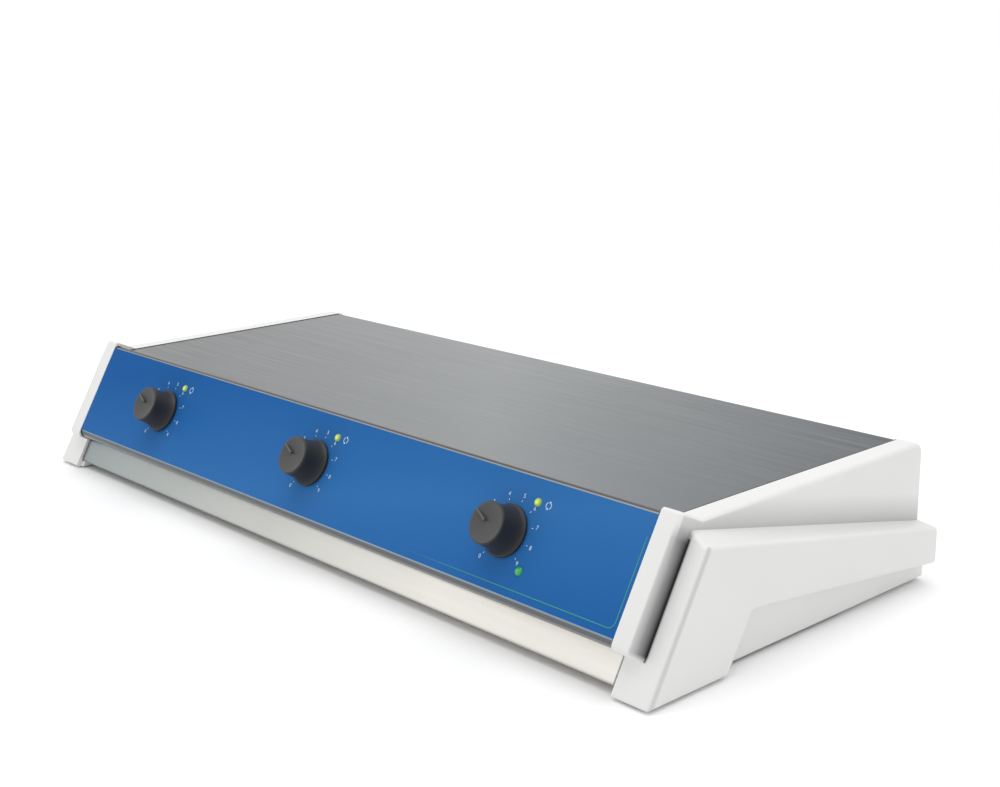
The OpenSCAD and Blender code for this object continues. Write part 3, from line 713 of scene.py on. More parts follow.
class Shader:
    """A material being wired: a Principled shader and the nodes that feed it."""

    def __init__(self, name: str, **values: object) -> None:
        """Starts a material.

        Args:
            name: The material's name.
            **values: Plain values of its shader, by name.
        """
        self.material = bpy.data.materials.new(name)
        self.material.use_nodes = True
        self.tree = self.material.node_tree
        self.shader = self.tree.nodes["Principled BSDF"]
        self.set(**values)

    def set(self, **values: object) -> None:
        """Sets the shader's inputs by name, with _ for a space, to values or sockets."""
        wire(self.tree, self.shader, values)

    def node(self, kind: str, **links: object) -> bpy.types.Node:
        """Adds a node.

        Args:
            kind: The node's type.
            **links: Its inputs by name, with _ for a space: a socket to link, or a value.

        Returns:
            The new node.
        """
        made = self.tree.nodes.new(kind)
        wire(self.tree, made, links)
        return made

    def place(self, scale: Triple = (1, 1, 1), at: Triple = (0, 0, 0), turn: Triple = (0, 0, 0)) -> Socket:
        """Gives Object coordinates, moved, turned and scaled.

        Args:
            scale: The scale along each axis.
            at: How far the pattern is moved.
            turn: How far it is turned about each axis, in degrees.

        Returns:
            The socket of the coordinates.
        """
        here = self.tree.nodes.new("ShaderNodeTexCoord").outputs["Object"]
        return self.node("ShaderNodeMapping", Vector=here, Location=at, Scale=scale,
                         Rotation=tuple(math.radians(a) for a in turn)).outputs[0]

    def axes(self, **how: Triple) -> tuple[Socket, ...]:
        """Gives X, Y and Z apart, placed as place() does."""
        return tuple(self.node("ShaderNodeSeparateXYZ", Vector=self.place(**how)).outputs)

    def group(self, tree: bpy.types.NodeTree, **links: object) -> bpy.types.Node:
        """Places a shared effect.

        Args:
            tree: The effect.
            **links: Its inputs by name.

        Returns:
            The node that holds it.
        """
        made = self.tree.nodes.new("ShaderNodeGroup")
        made.node_tree = tree
        wire(self.tree, made, links)
        return made

    def shade(self, colour: Colour | Socket, by: Socket) -> Socket:
        """Multiplies a colour by a value that changes over the surface."""
        return blended(self.tree, "MULTIPLY", 1.0, colour, by)

    def mix(self, share: Socket, a: Colour | Socket, b: Colour | Socket) -> Socket:
        """Goes from colour a to colour b by a share that changes over the surface."""
        return blended(self.tree, "MIX", share, a, b)

    def slope(self, at: Layout) -> tuple[Socket, ...]:
        """Gives places on the sloping front, in millimetres.

        Args:
            at: The sizes of the slope.

        Returns:
            The sockets of the way along X, up the slope from its bend and out of it.
        """
        c, s = math.cos(math.radians(at.slope)), math.sin(math.radians(at.slope))
        start = (0.0, -at.slope_y * c - at.plate_z * s, at.slope_y * s - at.plate_z * c)
        return self.axes(scale=PER_MM, at=start, turn=(-at.slope, 0, 0))

    def sum(self, how: str, a: object, b: object = 0.0) -> Socket:
        """Works a sum of values or sockets out over the surface."""
        return reckoned(self.tree, how, a, b)

    def band(self, value: Socket, band: Band, start: float = 0.0) -> Socket:
        """Gives 1 where a value lies within a band and 0 beyond.

        Args:
            value: The value.
            band: The lower and the upper end of the band, and how far outside them it falls off.
            start: The value that the ends are counted from.

        Returns:
            The socket of the band.
        """
        low, high, soft = start + band[0], start + band[1], band[2]
        rise = spread(self.tree, value, 0.0, 1.0, (low - soft, low))
        return self.sum("MULTIPLY", rise, spread(self.tree, value, 1.0, 0.0, (high, high + soft)))

    def tint(self, share: Socket, colour: Colour | Socket) -> None:
        """Lays another colour over the shader's colour by a share that changes over the surface."""
        base = self.shader.inputs["Base Color"].links[0].from_socket
        self.set(Base_Color=self.mix(share, base, colour))

    def recolour(self, colour: Socket) -> None:
        """Puts a colour that changes over the surface in the place of the finish's plain one."""
        base = self.shader.inputs["Base Color"].links[0].from_node
        self.tree.links.new(colour, base.inputs[MIX_A])

    def bump(self, height: Socket, depth: float) -> None:
        """Roughens the surface by a height field of this depth in metres."""
        made = self.node("ShaderNodeBump", Height=height, Distance=depth, Strength=1.0)
        self.set(Normal=made.outputs[0])


def fill(tree: bpy.types.NodeTree, socket: Socket, value: object) -> None:
    """Fills one input of a node.

    Args:
        tree: The tree that holds the node.
        socket: The input.
        value: A socket to link, or a value; a colour without alpha is made opaque.
    """
    if isinstance(value, Socket):
        tree.links.new(value, socket)
    elif isinstance(value, tuple) and len(socket.default_value) == 4:
        socket.default_value = (*value, 1.0)[:4]
    else:
        socket.default_value = value


def wire(tree: bpy.types.NodeTree, node: bpy.types.Node, links: dict[str, object]) -> None:
    """Fills a node's inputs.

    Args:
        tree: The tree that holds the node.
        node: The node.
        links: Its inputs by name, with _ for a space: a socket to link, or a value.
    """
    for key, value in links.items():
        fill(tree, node.inputs[key.replace("_", " ")], value)


def reckoned(tree: bpy.types.NodeTree, how: str, a: object, b: object) -> Socket:
    """Works a sum out.

    Args:
        tree: The tree to add the node to.
        how: The operation.
        a: The first value or socket.
        b: The second value or socket.

    Returns:
        The socket of the result.
    """
    made = tree.nodes.new("ShaderNodeMath")
    made.operation = how
    for socket, value in zip(made.inputs, (a, b)):
        fill(tree, socket, value)
    return made.outputs[0]


def blended(tree: bpy.types.NodeTree, how: str, share: object, a: object, b: object) -> Socket:
    """Blends two colours.

    Args:
        tree: The tree to add the node to.
        how: The blend type.
        share: The factor, a socket or a value.
        a: The first colour, a socket or a value.
        b: The second colour, a socket or a value.

    Returns:
        The socket of the blended colour.
    """
    made = tree.nodes.new("ShaderNodeMix")
    made.data_type, made.blend_type = "RGBA", how
    for k, value in ((0, share), (MIX_A, a), (MIX_B, b)):
        fill(tree, made.inputs[k], value)
    return made.outputs[MIX_OUT]


def effect(name: str, inputs: dict[str, str], outputs: dict[str, str], build: Filler) -> bpy.types.NodeTree:
    """Builds a shared shader effect once.

    Args:
        name: The name of the node group.
        inputs: The kind of each input, by name.
        outputs: The kind of each output, by name.
        build: Fills the group, given its tree, its input node and its output node.

    Returns:
        The node group.
    """
    tree = bpy.data.node_groups.get(name)
    if tree is None:
        tree = bpy.data.node_groups.new(name, "ShaderNodeTree")
        for way, sockets in (("INPUT", inputs), ("OUTPUT", outputs)):
            for key, kind in sockets.items():
                tree.interface.new_socket(key, in_out=way, socket_type="NodeSocket" + kind)
        build(tree, tree.nodes.new("NodeGroupInput"), tree.nodes.new("NodeGroupOutput"))
    return tree


def noise(tree: bpy.types.NodeTree, vector: Socket, scale: object, detail: float) -> Socket:
    """Adds a noise texture.

    Args:
        tree: The tree to add it to.
        vector: The socket of its coordinates.
        scale: Its scale, a socket or a value.
        detail: How many finer layers it has.

    Returns:
        The socket of its value.
    """
    made = tree.nodes.new("ShaderNodeTexNoise")
    wire(tree, made, {"Vector": vector, "Scale": scale, "Detail": detail})
    return made.outputs[0]


def spread(tree: bpy.types.NodeTree, value: Socket, low: object, high: object,
           between: tuple[float, float] = (0.3, 0.7)) -> Socket:
    """Maps a range of a value onto another, and holds it at the ends.

    Args:
        tree: The tree to add the node to.
        value: The value.
        low: What the lower end becomes, a socket or a value.
        high: What the upper end becomes, a socket or a value.
        between: The ends of the range, which are a noise texture's usual ones.

    Returns:
        The socket of the mapped value.
    """
    made = tree.nodes.new("ShaderNodeMapRange")
    wire(tree, made, {"Value": value, "From_Min": between[0], "From_Max": between[1],
                      "To_Min": low, "To_Max": high})
    return made.outputs[0]


SURFACE_IN = {"Vector": "Vector", "Scale": "Float", "Low": "Float", "High": "Float", "Shift": "Float"}
SURFACE_OUT = {"Roughness": "Float", "Shade": "Float", "Height": "Float"}
WHOLE = (0.0, 1.0)
HAIR_PULL: Triple = (0.012, 1.0, 1.0)
BRUSH_CLOUD = (0.95, 1.02)


def fine_grain() -> bpy.types.NodeTree:
    """Gives the effect of a moulded or coated skin: fine grain over slow cloudy change.

    Returns:
        The node group.
    """

    def build(tree: bpy.types.NodeTree, given: bpy.types.Node, end: bpy.types.Node) -> None:
        """Fills the group.

        Args:
            tree: The group's tree.
            given: Its input node.
            end: Its output node.
        """
        ins = given.outputs
        grain = noise(tree, ins["Vector"], ins["Scale"], detail=3.0)
        cloud = noise(tree, ins["Vector"], scale=14.0, detail=2.0)
        least = reckoned(tree, "SUBTRACT", 1.0, ins["Shift"])
        wire(tree, end, {"Roughness": spread(tree, grain, ins["Low"], ins["High"]),
                         "Shade": spread(tree, cloud, least, 1.0), "Height": grain})

    return effect("Fine Grain", SURFACE_IN, SURFACE_OUT, build)


def brush_lines() -> bpy.types.NodeTree:
    """Gives the effect of brushed sheet: long hairlines along the vector's X.

    Returns:
        The node group.
    """

    def build(tree: bpy.types.NodeTree, given: bpy.types.Node, end: bpy.types.Node) -> None:
        """Fills the group.

        Args:
            tree: The group's tree.
            given: Its input node.
            end: Its output node.
        """
        ins = given.outputs
        pull = tree.nodes.new("ShaderNodeVectorMath")
        pull.operation = "MULTIPLY"
        pull.inputs[1].default_value = HAIR_PULL
        tree.links.new(ins["Vector"], pull.inputs[0])
        hair = noise(tree, pull.outputs[0], ins["Scale"], detail=4.0)
        cloud = noise(tree, ins["Vector"], scale=9.0, detail=2.0)
        least = reckoned(tree, "SUBTRACT", 1.0, ins["Shift"])
        lines = spread(tree, hair, least, 1.0)
        both = reckoned(tree, "MULTIPLY", lines, spread(tree, cloud, *BRUSH_CLOUD))
        wire(tree, end, {"Roughness": spread(tree, hair, ins["Low"], ins["High"]),
                         "Shade": both, "Height": hair})

    return effect("Brush Lines", SURFACE_IN, SURFACE_OUT, build)


def layers() -> bpy.types.NodeTree:
    """Gives the effect of stacked or wound layers across the vector's Z.

    Returns:
        The node group.
    """

    def build(tree: bpy.types.NodeTree, given: bpy.types.Node, end: bpy.types.Node) -> None:
        """Fills the group.

        Args:
            tree: The group's tree.
            given: Its input node.
            end: Its output node.
        """
        ins = given.outputs
        bands = tree.nodes.new("ShaderNodeTexWave")
        bands.bands_direction = "Z"
        wire(tree, bands, {"Vector": ins["Vector"], "Scale": ins["Scale"], "Distortion": 0.6,
                           "Detail": 2.0, "Detail_Scale": 0.5})
        value = bands.outputs[1]
        least = reckoned(tree, "SUBTRACT", 1.0, ins["Shift"])
        wire(tree, end, {"Roughness": spread(tree, value, ins["High"], ins["Low"], WHOLE),
                         "Shade": spread(tree, value, least, 1.0, WHOLE), "Height": value})

    return effect("Layers", SURFACE_IN, SURFACE_OUT, build)


@dataclass(frozen=True)
class Finish:
    """A finish: its colour, range of roughness, change of shade, grain and relief."""

    colour: Colour
    rough: tuple[float, float] = (0.4, 0.55)
    shift: float = 0.05
    grain: float = 1400.0
    relief: float = 0.00002

    def wired(self, name: str, group: bpy.types.NodeTree, turn: Triple = (0, 0, 0), **values: object
              ) -> Shader:
        """Starts a material on one of the shared effects.

        Args:
            name: The material's name.
            group: The effect, which takes the grain in cells a metre and the relief in metres.
            turn: How far the effect is turned about each axis, in degrees.
            **values: Plain values of the shader.

        Returns:
            The material, whose colour can be changed further.
        """
        made = Shader(name, **values)
        skin = made.group(group, Vector=made.place(turn=turn), Scale=self.grain, Low=self.rough[0],
                          High=self.rough[1], Shift=self.shift)
        made.set(Base_Color=made.shade(self.colour, skin.outputs["Shade"]),
                 Roughness=skin.outputs["Roughness"])
        made.bump(skin.outputs["Height"], self.relief)
        return made

    def material(self, name: str, at: Layout) -> bpy.types.Material:
        """Makes the material."""
        raise NotImplementedError


@dataclass(frozen=True)
class Moulded(Finish):
    """Moulded plastic or rubber with a fine grain."""

    gloss: float = 0.5

    def material(self, name: str, at: Layout) -> bpy.types.Material:
        """Makes the material."""
        return self.wired(name, fine_grain(), Specular_IOR_Level=self.gloss).material


@dataclass(frozen=True)
class Cheek(Moulded):
    """The moulding of the end cheeks, with painted shade in the recess between the rim and the leg, along the
    leg's outer edge and in the corner above the arm.
    """

    # deep is the colour of all the painted shade in this finish.
    deep: Colour = (0.1, 0.1, 0.105)
    # Where the painted shade of the recess lies, how far it reaches and how it falls off.
    wall_x: float = 287.0
    recess: Band = (-2.0, 1.3, 1.4)
    recess_low: tuple[float, float] = (-74.0, -71.0)
    recess_top: tuple[float, float] = (-12.0, -4.0)
    recess_out: float = 1.5
    recess_past: float = 1.0
    recess_power: float = 0.4
    # Where the painted shade line along the leg's rounded outer edge lies, and how dark it is.
    edge_x: float = 300.3
    edge: Band = (-1.0, 0.0, 0.9)
    edge_out: Band = (-0.7, 0.7, 1.0)
    edge_share: float = 0.26
    # Where the painted shade in the corner between the wall and the top of the arm lies, and how dark it is.
    arm_fall: float = 0.217
    arm_drop: float = 3.0
    corner: Band = (-0.3, 0.3, 0.3)
    corner_up: Band = (-0.5, 0.0, 16.0)
    corner_share: float = 0.35

    def material(self, name: str, at: Layout) -> bpy.types.Material:
        """Makes the material.

        Args:
            name: Its name.
            at: The sizes that say where the tones lie.

        Returns:
            The material.
        """
        made = self.wired(name, fine_grain(), Specular_IOR_Level=self.gloss)
        x, up, out = made.slope(at)
        side = made.sum("ABSOLUTE", x)
        # Painted shade in the recess, darkest towards the bottom of the channel between the rim and the leg.
        wall = made.band(side, self.recess, self.wall_x)
        depth = (self.recess_out, at.film_v + self.recess_past)
        fall = made.sum("POWER", spread(made.tree, out, 1.0, 0.0, depth), self.recess_power)
        run = made.sum("MULTIPLY", spread(made.tree, up, 0.0, 1.0, self.recess_low),
                       spread(made.tree, up, 1.0, 0.0, self.recess_top))
        made.tint(made.sum("MULTIPLY", made.sum("MULTIPLY", wall, run), fall), self.deep)
        # Painted shade along the leg's rounded outer edge.
        line = made.sum("MULTIPLY", made.band(side, self.edge, self.edge_x), made.band(out, self.edge_out))
        made.tint(made.sum("MULTIPLY", line, self.edge_share), self.deep)
        # Painted shade in the corner where the wall meets the top of the arm, fading up the wall.
        _, y, z = made.axes(scale=PER_MM)
        over = made.sum("ADD", z, made.sum("MULTIPLY", y, self.arm_fall))
        foot = at.plate_z - self.arm_drop + self.arm_fall * at.slope_y
        share = made.sum("MULTIPLY", made.band(side, self.corner, self.wall_x),
                         made.band(over, self.corner_up, foot))
        made.tint(made.sum("MULTIPLY", share, self.corner_share), self.deep)
        return made.material


@dataclass(frozen=True)
class Brushed(Finish):
    """Sheet metal brushed along its length, with an optional painted reflection: other colours towards its far and
    near sides.
    """

    grain: float = 700.0
    relief: float = 0.000004
    # far, fade, near, rise and turn lay a painted reflection over the brushed colour.
    far: Colour | None = None
    fade: tuple[float, float] = WHOLE
    near: Colour | None = None
    rise: tuple[float, float] = WHOLE
    turn: float = 0.0

    def brushed(self, name: str) -> Shader:
        """Starts the material; where far is given, its colour fades along X turned by an angle about Z as a
        painted reflection.

        Args:
            name: The material's name.

        Returns:
            The material, whose colour can be changed further.
        """
        made = self.wired(name, brush_lines(), Metallic=1.0)
        # Painted reflection: the colour sweeps towards far and near along the turned X.
        if self.far:
            x = made.axes(scale=PER_MM, turn=(0, 0, self.turn))[0]
            colour = made.mix(spread(made.tree, x, 0.0, 1.0, self.fade), self.colour, self.far)
            if self.near:
                colour = made.mix(spread(made.tree, x, 0.0, 1.0, self.rise), self.near, colour)
            made.recolour(colour)
        return made

    def material(self, name: str, at: Layout) -> bpy.types.Material:
        """Makes the material."""
        return self.brushed(name).material


@dataclass(frozen=True)
class Strip(Brushed):
    """The steel under the panel, with painted shade along its lower edge, where it turns in, and along its ends.
    """

    # shadow is the colour of the painted shade along the lower edge and the ends.
    shadow: Colour = (0.25, 0.255, 0.25)
    low_edge: Band = (-9.0, 0.3, 0.8)
    end_w: float = 2.4
    end_soft: float = 0.4

    def material(self, name: str, at: Layout) -> bpy.types.Material:
        """Makes the material.

        Args:
            name: Its name.
            at: The sizes that say where the tones lie.

        Returns:
            The material.
        """
        made = self.brushed(name)
        x, up, _ = made.slope(at)
        # Painted shade along the lower edge, where the sheet turns in.
        made.tint(made.band(up, self.low_edge, -at.front_u(at.foot_h, 0)), self.shadow)
        # Painted shade along both ends, beside the cheeks.
        end = (at.body_w / 2 + at.strip_out - self.end_w, at.body_w, self.end_soft)
        made.tint(made.band(made.sum("ABSOLUTE", x), end), self.shadow)
        return made.material


@dataclass(frozen=True)
class PanelSheet(Brushed):
    """The folded panel, with painted light: a highlight line along the film's lower edge, and painted shade on the
    lower and the upper bends.
    """

    # bend and upper are painted shade and line is a painted highlight, each with the band where it lies.
    bend: Colour = (0.14, 0.15, 0.155)
    bend_up: Band = (1.6, 3.3, 0.9)
    line: Colour = (0.25, 0.31, 0.37)
    line_up: Band = (3.8, 4.3, 0.3)
    upper: Colour = (0.1, 0.095, 0.09)
    upper_w: float = 1.3
    upper_soft: float = 0.3
    upper_out: Band = (-2.5, 1.0, 0.8)

    def material(self, name: str, at: Layout) -> bpy.types.Material:
        """Makes the material.

        Args:
            name: Its name.
            at: The sizes that say where the tones lie.

        Returns:
            The material.
        """
        made = self.brushed(name)
        _, up, out = made.slope(at)
        end = -(at.fascia_u + at.fascia_len)
        # Painted shade on the lower bend.
        made.tint(made.band(up, self.bend_up, end), self.bend)
        # Painted highlight along the film's lower edge.
        made.tint(made.band(up, self.line_up, end), self.line)
        # Painted shade on the upper bend, where the panel meets the plate.
        top = (-at.fascia_u - self.upper_w, at.fascia_len, self.upper_soft)
        made.tint(made.sum("MULTIPLY", made.band(up, top), made.band(out, self.upper_out, at.film_v)),
                  self.upper)
        return made.material


@dataclass(frozen=True)
class Metal(Finish):
    """Plated, cast or turned metal with a close mottle."""

    grain: float = 500.0
    relief: float = 0.00001

    def material(self, name: str, at: Layout) -> bpy.types.Material:
        """Makes the material."""
        return self.wired(name, fine_grain(), Metallic=1.0).material


@dataclass(frozen=True)
class Layered(Finish):
    """Laminations or a winding, in bands across the piece."""

    relief: float = 0.0001
    turn: Triple = (0, 0, 0)
    metal: float = 0.6

    def material(self, name: str, at: Layout) -> bpy.types.Material:
        """Makes the material."""
        return self.wired(name, layers(), self.turn, Metallic=self.metal).material


@dataclass(frozen=True)
class Film(Moulded):
    """Printed film with a painted reflection: a soft pale streak from its upper right to its lower middle."""

    grain: float = 2600.0
    relief: float = 0.000006
    gloss: float = 0.03
    # The colour, slant, place and width of the painted reflection.
    light: Colour = (0.032, 0.152, 0.405)
    lean: float = -5.2
    streak: float = 286.0
    reach: float = 420.0

    def material(self, name: str, at: Layout) -> bpy.types.Material:
        """Makes the material.

        Args:
            name: Its name.
            at: The sizes that say where the streak lies.

        Returns:
            The material.
        """
        made = self.wired(name, fine_grain(), Specular_IOR_Level=self.gloss)
        x, up, _ = made.slope(at)
        # Painted reflection: a pale streak across the film.
        across = made.sum("ADD", x, made.sum("MULTIPLY", up, self.lean))
        off = made.sum("ABSOLUTE", made.sum("SUBTRACT", across, self.streak))
        made.tint(spread(made.tree, off, 1.0, 0.0, (0.0, self.reach)), self.light)
        return made.material


@dataclass(frozen=True)
class KnobGrip(Moulded):
    """The moulding of the knobs, paler on the face, where its tone attribute is 1 or more."""

    face: Colour = (0.062, 0.062, 0.062)
    mark: Colour = (0.1, 0.1, 0.098)

    def material(self, name: str, at: Layout) -> bpy.types.Material:
        """Makes the material.

        Args:
            name: Its name.
            at: The shared sizes, which it has no need of.

        Returns:
            The material.
        """
        made = self.wired(name, fine_grain(), Specular_IOR_Level=self.gloss)
        tone = made.tree.nodes.new("ShaderNodeAttribute")
        tone.attribute_name = "tone"
        for colour, between in ((self.face, (0.0, 1.0)), (self.mark, (1.0, 2.0))):
            made.tint(spread(made.tree, tone.outputs["Fac"], 0.0, 1.0, between), colour)
        return made.material


@dataclass(frozen=True)
class Ink(Finish):
    """Screen-printed ink, which can fade into the film along X."""

    grain: float = 3000.0
    relief: float = 0.000004
    fade_to: Colour | None = None
    fade: tuple[float, float] = WHOLE

    def material(self, name: str, at: Layout) -> bpy.types.Material:
        """Makes the material.

        Args:
            name: Its name.
            at: The shared sizes, which it has no need of.

        Returns:
            The material.
        """
        made = self.wired(name, fine_grain())
        if self.fade_to:
            share = spread(made.tree, made.axes()[0], 0.0, 1.0, self.fade)
            made.recolour(made.mix(share, self.fade_to, self.colour))
        return made.material


@dataclass(frozen=True)
class LitLens(Finish):
    """A lit lens, palest in the middle, where its glow attribute is 1."""

    grain: float = 900.0
    relief: float = 0.00001
    heart: Colour = (1.0, 1.0, 0.7)
    power: float = 0.8
    coat: float = 0.2

    def material(self, name: str, at: Layout) -> bpy.types.Material:
        """Makes the material.

        Args:
            name: Its name.
            at: The shared sizes, which it has no need of.

        Returns:
            The material.
        """
        made = self.wired(name, fine_grain(), Emission_Strength=self.power, Coat_Weight=self.coat)
        glow = made.tree.nodes.new("ShaderNodeAttribute")
        glow.attribute_name = "glow"
        made.set(Emission_Color=made.mix(glow.outputs["Fac"], self.colour, self.heart))
        return made.material


@dataclass(frozen=True)
class Board(Finish):
    """A circuit board: solder resist with paler tracks."""

    grain: float = 700.0
    relief: float = 0.00001
    track: Colour = (0.08, 0.3, 0.1)
    track_turn: Triple = (30, 0, 0)
    tracks: float = 60.0
    track_w: float = 0.06

    def material(self, name: str, at: Layout) -> bpy.types.Material:
        """Makes the material.

        Args:
            name: Its name.
            at: The shared sizes, which it has no need of.

        Returns:
            The material.
        """
        made = self.wired(name, fine_grain())
        rows = made.node("ShaderNodeTexBrick", Vector=made.place(turn=self.track_turn), Scale=self.tracks,
                         Mortar_Size=self.track_w, Color1=self.colour, Color2=self.colour,
                         Mortar=self.track)
        made.recolour(rows.outputs["Color"])
        return made.material


@dataclass(frozen=True)
class Glass(Finish):
    """Clear glass with a faint cloudiness."""

    grain: float = 300.0
    relief: float = 0.000004
    index: float = 1.5

    def material(self, name: str, at: Layout) -> bpy.types.Material:
        """Makes the material."""
        return self.wired(name, fine_grain(), IOR=self.index, Transmission_Weight=1.0).material


@dataclass(frozen=True)
class Sheath(Finish):
    """Wire sheaths, whose colour changes from run to run."""

    grain: float = 800.0
    other: Colour = (0.03, 0.06, 0.3)
    runs: float = 14.0
    run_scale: Triple = (1, 0.2, 0.2)
    split: tuple[float, float] = (0.45, 0.55)

    def material(self, name: str, at: Layout) -> bpy.types.Material:
        """Makes the material.

        Args:
            name: Its name.
            at: The shared sizes, which it has no need of.

        Returns:
            The material.
        """
        made = self.wired(name, fine_grain())
        cells = made.node("ShaderNodeTexVoronoi", Vector=made.place(scale=self.run_scale), Scale=self.runs)
        pick = spread(made.tree, cells.outputs["Color"], 0.0, 1.0, self.split)
        made.recolour(made.mix(pick, self.colour, self.other))
        return made.material


FILM_BLUE: Colour = (0.0118, 0.104, 0.338)
FINISHES: dict[str, Finish] = {
    # The plate's sweep of tone, palest in the middle, darker at its near end and darkest at its far end, is a
    # painted reflection.
    "brushed_top": Brushed((0.265, 0.28, 0.29), (0.26, 0.4), 0.1, grain=800.0, far=(0.055, 0.068, 0.08),
                           fade=(40.0, 270.0), near=(0.17, 0.18, 0.184), rise=(-190.0, 30.0), turn=-45.0),
    "case_steel": Brushed((0.72, 0.71, 0.67), (0.3, 0.46), 0.12),
    # The strip's change from grey at its left end to pale at its right is a painted reflection.
    "front_strip": Strip((0.33, 0.37, 0.37), (0.3, 0.46), 0.06, far=(0.71, 0.69, 0.645),
                         fade=(-270.0, 130.0)),
    "panel_sheet": PanelSheet((0.33, 0.335, 0.335), (0.3, 0.46), 0.12),
    "panel_blue": Film(FILM_BLUE, (0.38, 0.46), 0.03),
    "cheek_white": Cheek((0.78, 0.78, 0.772), (0.42, 0.52), 0.03, relief=0.000015),
    "foot_rubber": Moulded((0.025, 0.025, 0.026), (0.75, 0.9), 0.2, grain=900.0, relief=0.00005),
    "screw_steel": Metal((0.55, 0.56, 0.57), (0.25, 0.4), 0.1),
    "knob_grey": KnobGrip((0.017, 0.017, 0.0175), (0.42, 0.55), 0.12, grain=1800.0, gloss=0.4),
    "control_metal": Metal((0.6, 0.61, 0.62), (0.3, 0.45), 0.1),
    "spindle_steel": Metal((0.6, 0.61, 0.62), (0.2, 0.35), 0.08),
    "board_green": Board((0.02, 0.14, 0.05), (0.3, 0.42), 0.1),
    "nylon": Moulded((0.8, 0.78, 0.7), (0.45, 0.6), 0.06),
    "black_plastic": Moulded((0.022, 0.022, 0.024), (0.4, 0.55), 0.15),
    "dark_plastic": Moulded((0.035, 0.035, 0.038), (0.22, 0.34), 0.12, relief=0.00001),
    "lamp_yellow": LitLens((0.1, 0.2, 0.06), (0.12, 0.22), heart=(0.78, 0.825, 0.045)),
    "lamp_green": LitLens((0.012, 0.15, 0.05), (0.12, 0.22), heart=(0.02, 0.42, 0.01)),
    "bracket_steel": Metal((0.5, 0.51, 0.52), (0.3, 0.5), 0.18, grain=160.0),
    "motor_can": Metal((0.16, 0.16, 0.17), (0.35, 0.5), 0.15),
    "hub_aluminium": Metal((0.72, 0.73, 0.74), (0.25, 0.4), 0.08),
    "magnet": Metal((0.2, 0.2, 0.21), (0.3, 0.5), 0.15),
    "core_steel": Layered((0.14, 0.14, 0.15), (0.4, 0.7), 0.45, grain=220.0, turn=(90, 0, 0)),
    "winding": Layered((0.55, 0.26, 0.08), (0.25, 0.45), 0.5, grain=300.0),
    "pin_brass": Metal((0.75, 0.62, 0.3), (0.2, 0.35), 0.1),
    "fuse_glass": Glass((0.9, 0.93, 0.93), (0.02, 0.06)),
    "wire": Sheath((0.35, 0.04, 0.03), (0.35, 0.5), 0.1),
    "white_ink": Ink((0.58, 0.7, 0.83), (0.4, 0.5)),
    "green_ink": Ink((0.03, 0.3, 0.16), (0.4, 0.5), fade_to=FILM_BLUE, fade=(0.1, 0.19)),
    # The finish of the dark beads along the joints at the cheeks.
    "seal": Moulded((0.03, 0.03, 0.03), (0.6, 0.75), 0.2),
}


class Dresser:
    """Makes each finish once and gives pieces their finish and body."""

    def __init__(self, at: Layout) -> None:
        """Starts with no materials made."""
        self.at = at
        self.made: dict[str, bpy.types.Material] = {}

    def material(self, look: str) -> bpy.types.Material:
        """Gives the material of a finish.

        Args:
            look: The name of the finish.

        Returns:
            The material, made the first time that it is asked for.
        """
        if look not in self.made:
            self.made[look] = FINISHES[look].material(look, self.at)
        return self.made[look]

    def dress(self, piece: bpy.types.Object, slot: str, body: str, *nodes: str, look: str = ""
              ) -> bpy.types.Object:
        """Finishes a piece.

        Args:
            piece: The piece, in place.
            slot: The finish that it takes, where look is empty.
            body: The CAD body that it moves with.
            *nodes: The CAD nodes that it stands for.
            look: The finish that it takes, where it isn't the slot's own.

        Returns:
            The piece.
        """
        piece.data.materials.clear()
        piece.data.materials.append(self.material(look or slot))
        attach(piece, body)
        if nodes:
            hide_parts(*nodes)
        log.info("%s: %d faces on %s", piece.name, len(piece.data.polygons), body)
        return piece

    def dress_nodes(self) -> None:
        """Gives every CAD node the finish of its slot."""
        for item in frame["record"]["subparts"]:
            for holder in frame["nodes"][item["node"]].material_slots:
                holder.material = self.material(item["material_slot"])


# The object


